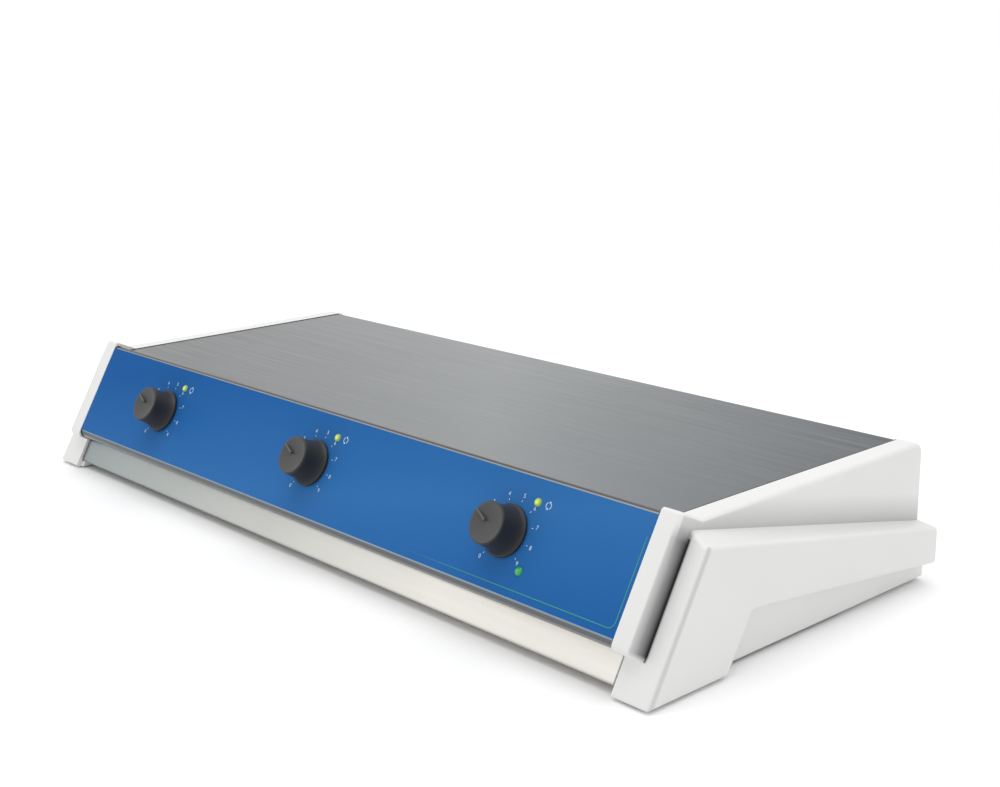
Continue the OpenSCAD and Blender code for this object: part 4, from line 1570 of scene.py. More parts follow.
@dataclass
class Case:
    """The folded sheets of the case and the dark beads at their ends."""

    at: Layout
    dresser: Dresser
    lip_h: float = 12.0
    tab_h: float = 26.0
    tab_back: float = 16.0
    bush_d: float = 7.8
    strip_fold: float = 0.1
    strip_lap: float = 3.0
    strip_from: float = 1.0
    strip_back: float = 3.0
    cut_up: float = 30.0
    cut_half: float = 3.0
    floor_half: float = 4.0
    past: float = 1.0
    tab_sink: float = 0.5
    tab_in: float = 0.01
    flange_r: float = 0.8
    slip: float = 0.1
    fold_steps: int = 14
    fold_sharp: float = 25.0
    seal_w: float = 0.9
    seal_up: float = 0.35
    seal_sink: float = 0.02
    seal_front: float = 1.0
    seal_back: float = 1.5
    seal_foot: float = 0.5
    seal_ease: float = 0.25
    seal_steps: int = 3

    def sheet(self, name: str, path: Loop, radii: Sequence[float]) -> bpy.types.Object:
        """Makes a folded sheet as wide as the case.

        Args:
            name: The name of the piece.
            path: The corners of its outer face, in millimetres.
            radii: The inner radius of each fold.

        Returns:
            The sheet.
        """
        half = self.at.body_w / 2
        section = folded(path, self.at.sheet_t, radii, self.fold_steps)
        return to_object(name, to_mesh(name, slab(section, -half, half), self.fold_sharp))

    def top_plate(self) -> None:
        """Builds the top plate, folded down at the front and the back."""
        a = self.at
        path = [*points((a.plate_back, a.plate_z - self.lip_h), (a.plate_back, a.plate_z)),
                a.front(0, 0), a.front(a.fascia_u + a.flange_w, 0)]
        plate = self.sheet("brushed_plate", path, [a.fold_r, a.fold_r])
        self.dresser.dress(plate, "brushed_top", "case", "top_plate")

    def tray(self) -> None:
        """Builds the floor, the front strip and the upturned ends."""
        a = self.at
        low_u = a.front_u(a.foot_h, 0)
        path = [a.front(a.fascia_u + a.fascia_len - a.flange_w - self.strip_lap, 0), a.front(low_u, 0),
                Vector((a.plate_back - a.sheet_t, a.foot_h))]
        floor, half, wide = a.foot_h + a.sheet_t, a.body_w / 2, a.body_w / 2 + a.strip_out
        section = folded(path, a.sheet_t, [self.strip_fold], self.fold_steps)
        tray = to_object("case_tray", to_mesh("case_tray", slab(section, -wide, wide), self.fold_sharp))
        top, bend = a.fascia_u + a.fascia_len - self.strip_from, a.front(low_u, 0).x + self.strip_back
        high, deep = top - self.cut_up, self.cut_half
        upper = [a.front(u, v) for u, v in ((high, -deep), (top, -deep), (top, deep), (high, deep))]
        below, above = floor - self.floor_half, floor + self.floor_half
        under = points((bend, below), (a.plate_back, below), (a.plate_back, above), (bend, above))
        shaped(tray, Cut.REMOVE, [slab(loop, *ends) for loop in (upper, under)
                                  for ends in ((half, wide + self.past), (-wide - self.past, -half))])
        back = a.plate_back - 2 * a.sheet_t - self.tab_back + a.sheet_t / 2
        mid, low, tall = -a.sheet_t / 2, floor - self.tab_sink, floor + self.tab_h
        tab = [a.front(a.front_u(low, mid), mid), Vector((back, low)), Vector((back, tall)),
               a.front(a.front_u(tall, mid), mid)]
        shaped(tray, Cut.JOIN, [slab(tab, -half + self.tab_in, -half + a.sheet_t),
                                slab(tab, half - a.sheet_t, half - self.tab_in)])
        self.dresser.dress(cleaned(tray, self.fold_sharp), "case_steel", "case", "base_tray",
                           look="front_strip")

    def fascia(self) -> None:
        """Builds the folded panel that carries the film, with its holes."""
        a = self.at
        end = a.fascia_u + a.fascia_len
        path = [a.front(a.fascia_u + a.flange_w, 0), a.front(a.fascia_u, 0),
                a.front(a.fascia_u, a.fascia_out), a.front(end, a.fascia_out), a.front(end, 0),
                a.front(end - a.flange_w, 0)]
        radii = [self.flange_r, a.top_bend - a.sheet_t, a.panel_bend - a.sheet_t, self.flange_r]
        fascia = self.sheet("panel_sheet", path, radii)
        holes = [(a.station_x(s), a.knob_u, self.bush_d) for s in Station]
        holes += [(x, u, a.lamp_d + 2 * self.slip) for x, u in a.lamp_places().values()]
        deep = self.cut_half
        shaped(fascia, Cut.REMOVE, [moved(tube(d / 2, -deep, deep), a.on_front(x, u, a.fascia_out))
                                    for x, u, d in holes])
        self.dresser.dress(cleaned(fascia, self.fold_sharp), "case_steel", "case", "fascia",
                           look="panel_sheet")

    def bend_paths(self) -> list[tuple[Loop, float]]:
        """Draws the dark beads round the panel's bends.

        Returns:
            The outer corners and the inner radius of each bead.
        """
        a, up, foot = self.at, self.seal_up, self.seal_foot
        top, end, out = a.fascia_u - up, a.fascia_u + a.fascia_len + up, a.fascia_out + up
        upper = [a.front(top, foot), a.front(top, out), a.front(a.fascia_u + a.top_bend, out)]
        lower = [a.front(end - a.panel_bend - up, out), a.front(end, out), a.front(end, foot)]
        return [(upper, a.top_bend - up), (lower, a.panel_bend - up)]

    def seals(self) -> None:
        """Builds the dark beads between the cheeks and the ends of the plate and the panel."""
        a = self.at
        parts = []
        for side in Side:
            x = side.value * (a.body_w / 2 - self.seal_w / 2)
            x0, x1 = x - self.seal_w / 2, x + self.seal_w / 2
            bm = brick((x0, a.slope_y + self.seal_front, a.plate_z - self.seal_sink),
                       (x1, a.plate_back - self.seal_back, a.plate_z + self.seal_up))
            ridge = [e for e in bm.edges if all(v.co.z > a.plate_z * MM for v in e.verts)]
            bmesh.ops.bevel(bm, geom=ridge, offset=self.seal_ease * MM, segments=self.seal_steps,
                            profile=0.5, affect="EDGES")
            parts.append(to_mesh("bead", bm))
            for path, radius in self.bend_paths():
                bead = folded(path, 2 * self.seal_up, [radius], self.fold_steps)
                parts.append(to_mesh("bead", slab(bead, x0, x1)))
        self.dresser.dress(to_object("plate_seals", merged("plate_seals", parts)), "seal", "case")

    def build(self) -> None:
        """Builds the whole case."""
        self.top_plate()
        self.tray()
        self.fascia()
        self.seals()


@dataclass
class EndCheek:
    """A moulded end: a base with a raised rim, a leg and arm standing out, and a skirt."""

    at: Layout
    dresser: Dresser
    side: Side
    base_t: float = 14.0
    rail_out: float = 13.5
    skirt_out: float = 4.5
    wall: float = 3.0
    lap: float = 5.0
    rim_proud: float = 0.4
    leg_v: float = 2.0
    lift: float = 2.1
    leg_lift: float = 1.4
    rise: float = 0.3
    groove_w: float = 1.5
    groove_deep: float = 7.0
    rail_top_u: float = 10.3
    rim_back: float = 5.5
    rim_up: float = 2.2
    rim_down: float = 1.0
    arm_top: float = 30.3
    arm_low: float = 7.4
    arm_in: tuple[float, float] = (31.0, 27.4)
    ramp: float = 5.8
    ramp_back: float = 1.2
    heel: float = 12.0
    boss_d: float = 8.0
    boss_up: float = 8.5
    boss_y: tuple[float, float] = (-34.0, 42.0)
    rim_edge: float = 3.0
    rail_edge: float = 3.0
    skirt_edge: float = 1.6
    base_radii: tuple[float, ...] = (1.5, 2, 6, 3, 2.4, 3.5, 1.5)
    rail_radii: tuple[float, ...] = (1.5, 2, 5.5, 2.5, 3, 3)
    skirt_radii: tuple[float, ...] = (0.4, 1, 1, 0.4)
    skirt_in: float = 8.0
    groove_radii: tuple[float, ...] = (1.2, 0.1, 0.1, 0.1)
    groove_steps: int = 5
    recess_low: tuple[float, float] = (4.0, 9.0)
    recess_deep: float = 2.0
    recess_lap: float = 2.0
    recess_slip: float = 0.05
    screw_hole_r: float = 1.6
    past: float = 1.0

    def base_loop(self) -> Loop:
        """Draws the base, with the rim in front of the panel.

        Returns:
            The corners of its outline.
        """
        a = self.at
        top, back = a.plate_z + self.rise, a.plate_back + self.lap
        rim_top, rim_low = a.fascia_u - self.rim_up, a.fascia_u + a.fascia_len + self.rim_down
        rim_v = a.film_v + self.rim_proud
        foot = a.front(a.front_u(self.lift, self.leg_v), self.leg_v)
        return [foot, *points((back, self.lift), (back, top), (a.slope_y + self.rim_back, top)),
                a.front(rim_top, rim_v), a.front(rim_low, rim_v), a.front(rim_low, self.leg_v)]

    def rail_loop(self, v: float, ramp: float = 0.0, tail: float = 0.0) -> Loop:
        """Draws the leg and arm.

        Args:
            v: How far the leg's front stands out of the slope.
            ramp: How far up the slope the arm's front corner is raised.
            tail: How far up its back corner is raised.

        Returns:
            The corners of their outline.
        """
        a = self.at
        back = a.plate_back + self.lap
        return [a.front(a.front_u(self.leg_lift, v), v), Vector((a.slope_y + self.heel, self.leg_lift)),
                self.elbow(), Vector((back, a.foot_h + self.arm_low)),
                Vector((back, a.foot_h + self.arm_top + tail)), a.front(self.rail_top_u - ramp, v)]

    def elbow(self) -> Vector:
        """Returns the inner corner between the leg and the arm."""
        return Vector((self.at.slope_y + self.arm_in[0], self.at.foot_h + self.arm_in[1]))

    def skirt_loop(self) -> Loop:
        """Draws the skirt under the arm.

        Returns:
            The corners of its outline.
        """
        a, lap = self.at, self.skirt_in
        back = a.plate_back + self.lap
        return [Vector((a.slope_y + self.heel - lap, self.lift)), Vector((back, self.lift)),
                Vector((back, a.foot_h + self.arm_low + lap)), self.elbow() + Vector((-lap, lap))]

    def groove_loop(self) -> Loop:
        """Draws the groove between the rim and the leg.

        Returns:
            The corners of its outline.
        """
        a = self.at
        low, high = a.fascia_u + a.fascia_len + self.rim_down, self.rail_top_u - self.past
        front, back = self.leg_v + self.past, self.leg_v - self.groove_deep
        return [a.front(low, back), a.front(low, front), a.front(high, front), a.front(high, back)]

    def recess_loop(self) -> Loop:
        """Draws the recess that takes the end of the front strip.

        Returns:
            The corners of its outline.
        """
        a = self.at
        back_u, front_u = (a.front_u(a.foot_h, 0) + down for down in self.recess_low)
        high, front = a.fascia_u + a.fascia_len - self.recess_lap, self.leg_v + self.past
        return [a.front(back_u, -self.recess_deep), a.front(front_u, front), a.front(high, front),
                a.front(high, -self.recess_deep)]

    def build(self) -> None:
        """Builds the cheek."""
        a, side = self.at, self.at.body_w / 2
        name = f"{self.side.name.lower()}_end_cheek"
        base_x, skirt_x, rail_x = (side + self.base_t + out for out in (0, self.skirt_out, self.rail_out))
        cheek = to_object(name, to_mesh(name, soft_slab(
            self.base_loop(), self.base_radii, side, base_x, self.rim_edge)))
        shaped(cheek, Cut.JOIN, [
            soft_slab(self.skirt_loop(), self.skirt_radii, side, skirt_x, self.skirt_edge),
            soft_slab(self.rail_loop(self.leg_v), self.rail_radii, side, rail_x, self.rail_edge,
                      self.rail_loop(self.leg_v, self.ramp, self.ramp_back), base_x)])
        core = self.rail_loop(self.leg_v - self.groove_deep)
        hollows = [(self.base_loop(), base_x), (self.skirt_loop(), skirt_x), (core, rail_x)]
        shaped(cheek, Cut.REMOVE, [slab(inset(loop, self.wall), side - self.past, x - self.wall)
                                   for loop, x in hollows])
        groove = rounded(self.groove_loop(), self.groove_radii, self.groove_steps)
        recess_x = side + a.strip_out + self.recess_slip
        shaped(cheek, Cut.REMOVE, [slab(groove, base_x, base_x + self.groove_w),
                                   slab(self.recess_loop(), side - self.past, recess_x)])
        across = Matrix.Rotation(math.radians(90), 4, "Y")
        middle = a.slope_y + a.plate_d / 2
        spots = [Matrix.Translation(Vector((side, middle + y, a.foot_h + a.sheet_t + self.boss_up)) * MM)
                 @ across for y in self.boss_y]
        boss, hole = self.base_t + self.skirt_out - self.wall / 2, self.base_t - self.past
        shaped(cheek, Cut.JOIN, [moved(tube(self.boss_d / 2, 0, boss), spot) for spot in spots])
        shaped(cheek, Cut.REMOVE, [moved(tube(self.screw_hole_r, -self.past, hole), spot) for spot in spots])
        if self.side is Side.LEFT:
            cheek.data.transform(Matrix.Diagonal((-1, 1, 1, 1)))
        self.dresser.dress(cleaned(cheek), "cheek_white", "case", f"{self.side.name.lower()}_cheek")


@dataclass
class ControlKnob:
    """A dark spool-shaped knob with a pointer on its dished face."""

    at: Layout
    dresser: Dresser
    station: Station
    skirt_d: float = 30.4
    face_d: float = 24.6
    height: float = 16.8
    gap: float = 0.6
    rest: float = -62.0
    hub_bore: float = 6.04
    bore_deep: float = 12.5
    under_d: float = 16.0
    under_deep: float = 5.6
    pointer_w: float = 1.3
    pointer_near: float = 2.2
    pointer_edge: float = 0.55
    pointer_deep: float = 2.8
    pointer_proud: float = 0.13
    pointer_round: float = 0.9
    pointer_tip_r: float = 0.2
    pointer_crown: tuple[tuple[float, float], ...] = ((0.35, 0.0), (0.1, 0.12), (0.0, 0.35))
    dish: float = 2.3
    dish_steps: int = 10
    foot_r: float = 0.5
    foot_cut: float = 0.15
    flare_up: float = 1.4
    flare_share: float = 0.7
    flare_steps: int = 16
    lip_r: float = 1.1
    lip_steps: int = 6
    round_steps: int = 96
    sharp: float = 32.0
    face_in: float = 0.6
    face_deep: float = 0.2
    mark_up: float = 0.02

    def profile(self) -> list[tuple[float, float]]:
        """Draws the knob's outside, from under the skirt to the middle of the face.

        Returns:
            The radius and height of each point.
        """
        r, f, h, lip = self.skirt_d / 2, self.face_d / 2, self.height, self.lip_r
        line = [(0.0, 0.0), (r - self.foot_r, 0.0), (r - self.foot_cut, self.foot_cut), (r, self.foot_r)]
        for g in quarter(self.flare_steps):
            up = self.flare_up + self.flare_share * h * (1 - math.cos(g))
            line.append((f + (r - f) * (1 - math.sin(g)), up))
        for g in quarter(self.lip_steps):
            line.append((f - lip * (1 - math.cos(g)), h - lip + lip * math.sin(g)))
        for i in range(1, self.dish_steps + 1):
            share = 1 - i / self.dish_steps
            line.append(((f - lip) * share, h - self.dish * (1 - share ** 2)))
        return line

    def pointer(self) -> bmesh.types.BMesh:
        """Makes the pointer, a bar with a rounded top that stands in the dished face.

        Returns:
            The bar as a bmesh.
        """
        low, high = self.height - self.pointer_deep, self.height + self.pointer_proud
        w, near, far = self.pointer_w / 2, self.pointer_near, self.face_d / 2 - self.pointer_edge
        bar = points((-w, near), (w, near), (w, far), (-w, far))
        soft, tip = self.pointer_round * w, self.pointer_tip_r
        flat = rounded(bar, [soft, soft, tip, tip], steps=4)
        levels = [(low, 0.0), *((high - down, shrink) for down, shrink in self.pointer_crown)]
        return loft([[Vector((p.x, p.y, z)) * MM for p in inset_to(flat, bar, shrink)]
                     for z, shrink in levels])

    def build(self) -> None:
        """Builds the knob."""
        a, name = self.at, f"{self.station.value}_dial_knob"
        knob = to_object(name, to_mesh(name, lathe(self.profile(), self.round_steps)))
        shaped(knob, Cut.REMOVE, [tube(self.under_d / 2, -1, self.under_deep, steps=64),
                                  tube(self.hub_bore / 2, -1, self.bore_deep, steps=48)])
        shaped(knob, Cut.JOIN, [self.pointer()])
        cleaned(knob, self.sharp)
        face_r, mark_z = (self.face_d / 2 - self.face_in) * MM, (self.height + self.mark_up) * MM
        face_z = (self.height - self.dish - self.face_deep) * MM
        tone = knob.data.attributes.new("tone", "FLOAT", "POINT")
        for item, vert in zip(tone.data, knob.data.vertices):
            on_face = vert.co.z > face_z and vert.co.xy.length < face_r
            item.value = on_face + (vert.co.z > mark_z)
        place = a.on_front(a.station_x(self.station), a.knob_u, a.film_v + self.gap)
        knob.data.transform(place @ Matrix.Rotation(math.radians(-self.rest), 4, "Z"))
        body = f"{self.station.value}_knob"
        self.dresser.dress(knob, "knob_grey", body, body)


def inset_to(loop: Loop, corners: Loop, share: float) -> Loop:
    """Draws a loop in towards the middle line of its corners.

    Args:
        loop: The points to move.
        corners: The corners whose middle line is the goal.
        share: The part of the way to go.

    Returns:
        The moved points.
    """
    x = sum(c.x for c in corners) / len(corners)
    return [Vector((p.x + (x - p.x) * share, p.y)) for p in loop]


@dataclass
class PanelLamp:
    """A domed lens behind the panel, with its flange."""

    at: Layout
    dresser: Dresser
    node: str
    slot: str
    proud: float = 0.3
    dome_share: float = 0.44
    dome_steps: int = 8
    flange_t: float = 1.2
    flange_w: float = 0.45
    round_steps: int = 48
    sharp: float = 40.0
    glow_power: float = 1.8

    def build(self) -> None:
        """Builds the lamp."""
        a, r = self.at, self.at.lamp_d / 2
        rise, wide = a.sheet_t + a.film_t + self.proud, r + self.flange_w
        dome = r * self.dome_share
        line = [(0.0, -self.flange_t), (wide, -self.flange_t), (wide, 0.0), (r, 0.0), (r, rise)]
        for g in quarter(self.dome_steps, first=1):
            line.append((r * math.cos(g), rise + dome * math.sin(g)))
        name = f"{self.node}_lens"
        mesh = to_mesh(name, lathe(line, self.round_steps), self.sharp)
        glow = mesh.attributes.new("glow", "FLOAT", "POINT")
        for item, vert in zip(glow.data, mesh.vertices):
            item.value = max(0.0, 1 - (vert.co.xy.length / (r * MM)) ** 2) ** self.glow_power
        x, u = a.lamp_places()[self.node]
        mesh.transform(a.on_front(x, u, a.fascia_out - a.sheet_t))
        self.dresser.dress(to_object(name, mesh), self.slot, "case", self.node)


@dataclass
class PanelPrint:
    """The printing on the film: dial numbers, ticks, stirring signs and a pin-line."""

    at: Layout
    dresser: Dresser
    first: float = -145.0
    last: float = 133.0
    numbers: int = 10
    number_r: float = 21.4
    number_h: float = 2.5
    tick_r: float = 18.2
    tick_len: float = 1.0
    tick_w: float = 0.42
    ink: float = 0.04
    letter_scale: float = 1.38
    letter_steps: int = 4
    sign_x: float = 22.5
    sign_r: float = 1.9
    sign_w: float = 0.42
    sign_turn: tuple[int, int, int] = (-60, 66, 9)
    head_len: float = 1.25
    head_w: tuple[float, float] = (1.5, 0.06)
    line_w: float = 0.45
    line_x: float = 270.3
    line_top: float = 12.5
    line_low: float = 61.5
    line_r: float = 4.0
    line_end: float = 95.0
    line_least: float = 0.15
    line_thin: float = 60.0
    line_steps: int = 24

    def text(self, words: str, height: float, place: Matrix) -> bpy.types.Mesh:
        """Makes a short text as a thin solid.

        Args:
            words: The text.
            height: Its size in millimetres.
            place: Where its middle stands.

        Returns:
            The text's mesh, in place.
        """
        curve = bpy.data.curves.new("text", "FONT")
        curve.body, curve.size, curve.extrude = words, height * self.letter_scale * MM, self.ink / 2 * MM
        curve.align_x, curve.align_y, curve.resolution_u = "CENTER", "CENTER", self.letter_steps
        holder = bpy.data.objects.new("text", curve)
        bpy.context.scene.collection.objects.link(holder)
        graph = bpy.context.evaluated_depsgraph_get()
        mesh = bpy.data.meshes.new_from_object(holder.evaluated_get(graph), depsgraph=graph)
        bpy.data.objects.remove(holder)
        bpy.data.curves.remove(curve)
        mesh.transform(place)
        return mesh

    def ribbon(self, path: Loop, widths: Sequence[float], place: Matrix) -> bpy.types.Mesh:
        """Makes a thin printed line along a path.

        Args:
            path: The middle of the line, in millimetres.
            widths: The line's width at each point.
            place: The plane that it is printed on.

        Returns:
            The line's mesh, in place.
        """
        last = len(path) - 1
        rings = []
        for i, p in enumerate(path):
            n = left_of(path[max(i - 1, 0)], path[min(i + 1, last)]) * widths[i] / 2
            corners = ((p + n, 0), (p - n, 0), (p - n, self.ink), (p + n, self.ink))
            rings.append([Vector((q.x, q.y, z)) * MM for q, z in corners])
        return to_mesh("ribbon", moved(loft(rings), place))

    def dials(self) -> None:
        """Prints the numbers and ticks round each knob."""
        a, parts = self.at, []
        step = (self.last - self.first) / (self.numbers - 1)
        seeds = bpy.data.meshes.new("seeds")
        ticks = DialTicks().run(
            "dial_ticks", seeds, Radius=self.tick_r * MM, Start=math.radians(90 - self.first),
            Sweep=math.radians(self.first - self.last), Length=self.tick_len * MM, Width=self.tick_w * MM,
            Height=self.ink * MM, Count=self.numbers, Finish=self.dresser.material("white_ink"))
        plain = ticks.data
        rows = []
        for station in Station:
            face = a.on_front(a.station_x(station), a.knob_u, a.film_v + self.ink / 2)
            row = plain.copy()
            row.transform(face)
            rows.append(row)
            for i in range(self.numbers):
                g = math.radians(self.first + step * i)
                spot = Vector((math.sin(g), math.cos(g), 0)) * self.number_r * MM
                parts.append(self.text(str(i), self.number_h, face @ Matrix.Translation(spot)))
        ticks.data = merged("dial_ticks", rows)
        bpy.data.meshes.remove(plain)
        self.dresser.dress(ticks, "white_ink", "case")
        self.dresser.dress(to_object("dial_numbers", merged("dial_numbers", parts)), "white_ink", "case")

    def signs(self) -> None:
        """Prints a turning-arrow sign beside each station's lamp."""
        a, parts = self.at, []
        for station in Station:
            x, u = a.station_x(station) + self.sign_x, a.knob_u - a.lamp_up
            face = a.on_front(x, u, a.film_v)
            for half in (0, 180):
                turn = face @ Matrix.Rotation(math.radians(half), 4, "Z")
                bend = [Vector((math.cos(math.radians(g)), math.sin(math.radians(g)))) * self.sign_r
                        for g in range(*self.sign_turn)]
                parts.append(self.ribbon(bend, [self.sign_w] * len(bend), turn))
                tip = math.radians(self.sign_turn[1])
                end = Vector((math.cos(tip), math.sin(tip))) * self.sign_r
                on = Vector((-math.sin(tip), math.cos(tip)))
                parts.append(self.ribbon([end, end + on * self.head_len], self.head_w, turn))
        self.dresser.dress(to_object("stir_signs", merged("stir_signs", parts)), "white_ink", "case")

    def pin_line(self) -> None:
        """Prints the thin line round the panel's lower right corner."""
        a = self.at
        corner = points((self.line_x, -self.line_top), (self.line_x, -self.line_low),
                        (self.line_end, -self.line_low))
        path = [corner[0], *arc(*corner, self.line_r, steps=8)]
        low = path[-1]
        path += [low + (corner[2] - low) * (i / self.line_steps) for i in range(1, self.line_steps + 1)]
        widths = [self.line_w * min(1.0, self.line_least + (p.x - self.line_end) / self.line_thin)
                  for p in path]
        film_top = a.fascia_u + a.top_bend
        line = self.ribbon(path, widths, a.on_front(0, film_top, a.film_v))
        line.name = "pin_line"
        self.dresser.dress(to_object("pin_line", line), "green_ink", "case")

    def build(self) -> None:
        """Prints everything."""
        self.dials()
        self.signs()
        self.pin_line()


@dataclass
class Fixings:
    """The screws that show and the rubber feet."""

    at: Layout
    dresser: Dresser
    head_d: float = 5.5
    head_h: float = 2.2
    shank_d: float = 3.0
    rim_share: float = 0.5
    flat_share: float = 0.62
    crown_share: float = 0.46
    recess: float = 1.0
    recess_past: float = 0.2
    arm_low: tuple[float, float] = (0.8, 0.2)
    arm_top: tuple[float, float] = (1.6, 0.36)
    twists: tuple[int, int] = (37, 53)
    foot_d: float = 18.0
    foot_bore_r: float = 1.6
    foot_seat: float = 2.0
    well_slip: float = 1.2
    on_back: tuple[str, ...] = ("plate_screws", "inlet_screws")
    shanks: dict[str, float] = field(default_factory=lambda: {
        "plate_screws": 5.0, "inlet_screws": 6.0, "foot_screws": 8.0, "rear_screws": 6.0,
        "bracket_screws": 6.0, "power_screws": 6.0})

    def screw(self, shank: float) -> bpy.types.Mesh:
        """Makes a pan-head screw with a cross recess.

        Args:
            shank: The length of its shank.

        Returns:
            The screw's mesh, its head on Z = 0.
        """
        r, h, s = self.head_d / 2, self.head_h, self.shank_d / 2
        rim, flat = self.rim_share, self.flat_share
        line = [(0.0, -shank), (s - 0.3, -shank), (s, -shank + 0.4), (s, 0.0), (r, 0.0), (r, rim * h)]
        for g in quarter(6, first=1):
            line.append((r * (flat + (1 - flat) * math.cos(g)), h * (rim + self.crown_share * math.sin(g))))
        line += [(r * 0.3, h * 0.99), (0.0, h)]
        made = to_object("screw", to_mesh("screw", lathe(line, steps=28)))
        arms = []
        levels = ((h - self.recess, *self.arm_low), (h + self.recess_past, *self.arm_top))
        for turn in (0, 90):
            rings = [[Vector((x, y, z)) * MM for x, y in ((-a, -b), (a, -b), (a, b), (-a, b))]
                     for z, a, b in levels]
            arms.append(moved(loft(rings), Matrix.Rotation(math.radians(turn), 4, "Z")))
        mesh = cleaned(shaped(made, Cut.REMOVE, arms)).data
        bpy.data.objects.remove(made)
        return mesh

    def screws(self, rule: PlacedCopies) -> None:
        """Sets the screws where the CAD model has them.

        Args:
            rule: The tree that places copies.
        """
        for n, (node, shank) in enumerate(self.shanks.items()):
            places = []
            for k, (low, high) in enumerate(solids_of(node)):
                mid = (low + high) / 2
                if node in self.on_back:
                    seat, tip = Vector((mid.x, high.y - self.head_h * MM, mid.z)), -90
                else:
                    seat, tip = Vector((mid.x, mid.y, low.z + self.head_h * MM)), 180
                twist = math.radians((self.twists[0] * k + self.twists[1] * n) % 90)
                places.append(Matrix.Translation(seat) @ Matrix.Rotation(math.radians(tip), 4, "X")
                              @ Matrix.Rotation(twist, 4, "Z"))
            made = rule.copies(f"{node.removesuffix('_screws')}_pan_screws", self.screw(shank), places,
                               self.dresser.material("screw_steel"))
            self.dresser.dress(made, "screw_steel", "case", node)

    def feet(self, rule: PlacedCopies) -> None:
        """Sets the rubber feet where the CAD model has them.

        Args:
            rule: The tree that places copies.
        """
        r, h, well = self.foot_d / 2, self.at.foot_h, (self.head_d + self.well_slip) / 2
        bore, seat = self.foot_bore_r, h - self.foot_seat
        line = [(bore, h), (r - 0.2, h), (r, h - 0.3), (r - 0.6, 1.4), (r - 1.05, 0.5), (r - 1.7, 0.0),
                (well + 1.2, 0.0), (well + 0.4, 0.2), (well, 0.6), (well, seat), (bore, seat)]
        bm = lathe(line + line[:1], steps=48)
        caps = [f for f in bm.faces if len(f.verts) > 4]
        bmesh.ops.delete(bm, geom=caps, context="FACES_ONLY")
        places = [Matrix.Translation(((low.x + high.x) / 2, (low.y + high.y) / 2, 0))
                  for low, high in solids_of("rubber_feet")]
        made = rule.copies("bench_feet", to_mesh("foot", bm), places, self.dresser.material("foot_rubber"))
        self.dresser.dress(made, "foot_rubber", "case", "rubber_feet")

    def build(self) -> None:
        """Builds all fixings."""
        rule = PlacedCopies()
        self.screws(rule)
        self.feet(rule)


@dataclass
class BackFittings:
    """The mains inlet, its fuse drawer and the switch on the back."""

    dresser: Dresser
    print_on: PanelPrint
    tilt: float = 11.0
    rocker_fall: float = 1.2
    rocker_half: float = 7.2
    mark_h: float = 3.0
    mark_out: float = 3.26
    mark_up: float = 3.6

    def build(self) -> None:
        """Builds the fittings with eased edges, and the marks on the rocker."""
        for name, node, ease, slot, body in (
                ("mains_inlet", "inlet", 0.5, "black_plastic", "case"),
                ("fuse_holder", "fuse_drawer", 0.35, "dark_plastic", "fuse_drawer"),
                ("switch_frame", "switch_body", 0.4, "black_plastic", "case"),
                ("switch_rocker", "rocker", 0.3, "dark_plastic", "rocker")):
            self.dresser.dress(softened(name, node, ease), slot, body, node)
        joint = next(j for j in frame["joints"] if j["name"] == "rocker_tip")
        pivot = Matrix.Translation(joint["pos_m"]) @ Matrix.Rotation(math.radians(self.tilt), 4, "X")
        lean = math.degrees(math.atan2(self.rocker_fall, self.rocker_half))
        face_back = Matrix.Rotation(math.pi, 4, "Z") @ Matrix.Rotation(math.radians(90), 4, "X")
        marks = []
        for words, way in (("I", 1), ("O", -1)):
            spot = Matrix.Translation(Vector((0, self.mark_out, way * self.mark_up)) * MM)
            slant = Matrix.Rotation(math.radians(-way * lean), 4, "X")
            marks.append(self.print_on.text(words, self.mark_h, pivot @ spot @ slant @ face_back))
        self.dresser.dress(to_object("switch_marks", merged("switch_marks", marks)), "white_ink", "rocker")


# The studio


@dataclass(frozen=True)
class SoftLamp:
    """A square lamp, in metres and watts."""

    name: str
    place: Triple
    aim: Triple
    size: float
    watts: float

    def hang(self) -> None:
        """Hangs the lamp."""
        data = bpy.data.lights.new(self.name, "AREA")
        data.shape, data.size, data.energy = "SQUARE", self.size, self.watts
        made = bpy.data.objects.new(self.name, data)
        way = (Vector(self.aim) - Vector(self.place)).to_track_quat("-Z", "Y")
        made.matrix_world = Matrix.Translation(self.place) @ way.to_matrix().to_4x4()
        bpy.context.scene.collection.objects.link(made)


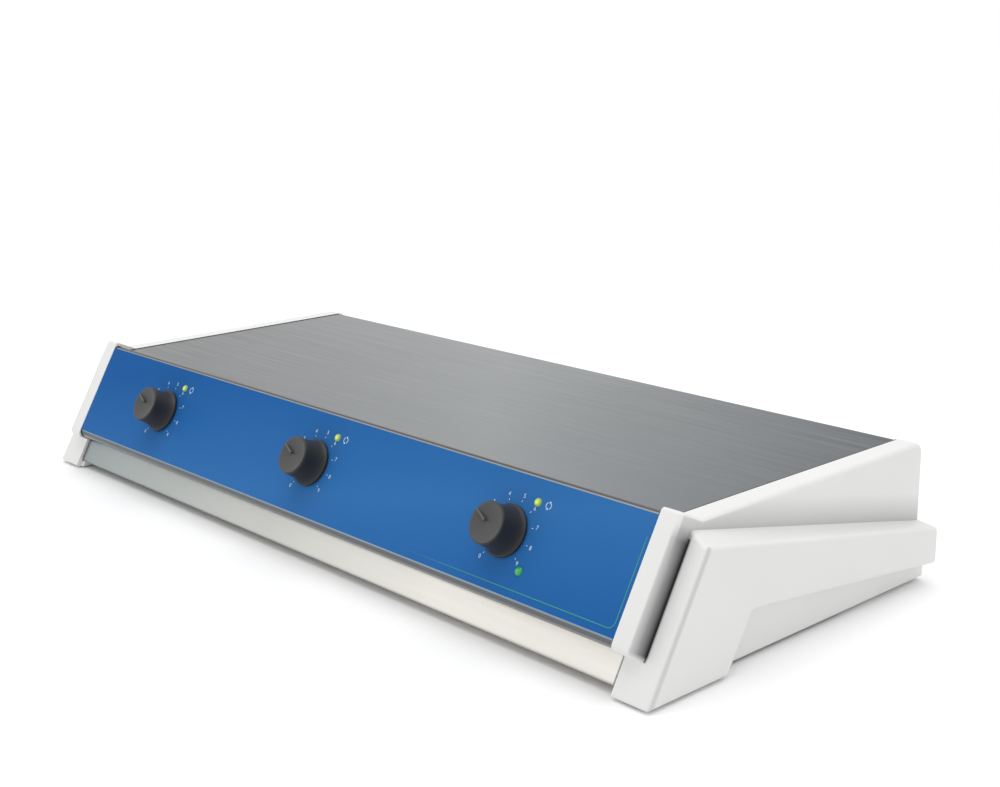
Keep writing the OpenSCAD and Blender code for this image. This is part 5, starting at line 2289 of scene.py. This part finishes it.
@dataclass
class Studio:
    """The camera, the floor and plain soft light."""

    at: Layout
    lamps: tuple[SoftLamp, ...] = (
        SoftLamp("overhead", (0.15, 0.1, 1.9), (0.15, 0.1, 0), 2.0, 16.5),
        SoftLamp("front_left", (-1.2, -1.7, 1.1), (0, 0, 0.05), 1.4, 2.6))
    eye: Triple = (750.85, -545.11, 245.58)
    lens: float = 54.85
    sensor: float = 36.0
    clip: tuple[float, float] = (0.01, 100.0)
    yaw: float = 47.494
    pitch: float = 14.205
    roll: float = -0.637
    sky: float = 0.8
    floor_shade: float = 0.99
    floor_r: float = 0.85
    floor_rough: float = 0.9

    def camera(self) -> None:
        """Stands the camera off the middle of the film's upper edge, as the photograph has it."""
        data = bpy.data.cameras.new("camera")
        data.lens, data.sensor_width, data.sensor_fit = self.lens, self.sensor, "HORIZONTAL"
        data.clip_start, data.clip_end = self.clip
        a, e, r = (math.radians(g) for g in (self.yaw, self.pitch, self.roll))
        ahead = Vector((-math.sin(a) * math.cos(e), math.cos(a) * math.cos(e), -math.sin(e)))
        right = Vector((math.cos(a), math.sin(a), 0))
        up = right.cross(ahead)
        x, y = right * math.cos(r) + up * math.sin(r), up * math.cos(r) - right * math.sin(r)
        made = bpy.data.objects.new("camera", data)
        edge = self.at.front(self.at.fascia_u + self.at.top_bend, self.at.film_v)
        eye = (Vector(self.eye) + Vector((0, edge.x, edge.y))) * MM
        made.matrix_world = Matrix.Translation(eye) @ Matrix((x, y, -ahead)).transposed().to_4x4()
        bpy.context.scene.collection.objects.link(made)
        bpy.context.scene.camera = made

    def world(self) -> None:
        """Lights the room evenly and keeps the backdrop white to the eye and in gloss."""
        world = bpy.data.worlds.new("room")
        bpy.context.scene.world = world
        world.use_nodes = True
        tree = world.node_tree
        plain = tree.nodes["Background"]
        plain.inputs[0].default_value = (1.0, 1.0, 1.0, 1.0)
        plain.inputs[1].default_value = self.sky
        white = tree.nodes.new("ShaderNodeBackground")
        white.inputs[0].default_value = (1.0, 1.0, 1.0, 1.0)
        path = tree.nodes.new("ShaderNodeLightPath")
        seen = path.outputs["Is Camera Ray"]
        for key in ("Is Glossy Ray", "Is Transmission Ray"):
            seen = reckoned(tree, "MAXIMUM", seen, path.outputs[key])
        pick = tree.nodes.new("ShaderNodeMixShader")
        tree.links.new(seen, pick.inputs[0])
        tree.links.new(plain.outputs[0], pick.inputs[1])
        tree.links.new(white.outputs[0], pick.inputs[2])
        tree.links.new(pick.outputs[0], tree.nodes["World Output"].inputs[0])

    def floor(self) -> None:
        """Lays the pale floor."""
        bm = bmesh.new()
        bmesh.ops.create_circle(bm, cap_ends=True, segments=96, radius=self.floor_r)
        floor = to_object("floor", to_mesh("floor", bm))
        pale = Shader("floor", Base_Color=(self.floor_shade,) * 3, Roughness=self.floor_rough,
                      Specular_IOR_Level=0.0)
        floor.data.materials.append(pale.material)

    def build(self) -> None:
        """Sets up the studio."""
        scene = bpy.context.scene
        scene.view_settings.view_transform = "Standard"
        self.camera()
        self.world()
        self.floor()
        for lamp in self.lamps:
            lamp.hang()


def main() -> None:
    """Builds the studio and every sub-assembly, in order."""
    logging.basicConfig(level=logging.INFO, format="%(message)s")
    at = Layout()
    dresser = Dresser(at)
    Studio(at).build()
    dresser.dress_nodes()
    Case(at, dresser).build()
    for side in Side:
        EndCheek(at, dresser, side).build()
    for station in Station:
        ControlKnob(at, dresser, station).build()
    for node in at.lamp_places():
        PanelLamp(at, dresser, node, "lamp_green" if node == "power_lamp" else "lamp_yellow").build()
    panel = PanelPrint(at, dresser)
    panel.build()
    Fixings(at, dresser).build()
    BackFittings(dresser, panel).build()


if __name__ == "__main__":
    main()
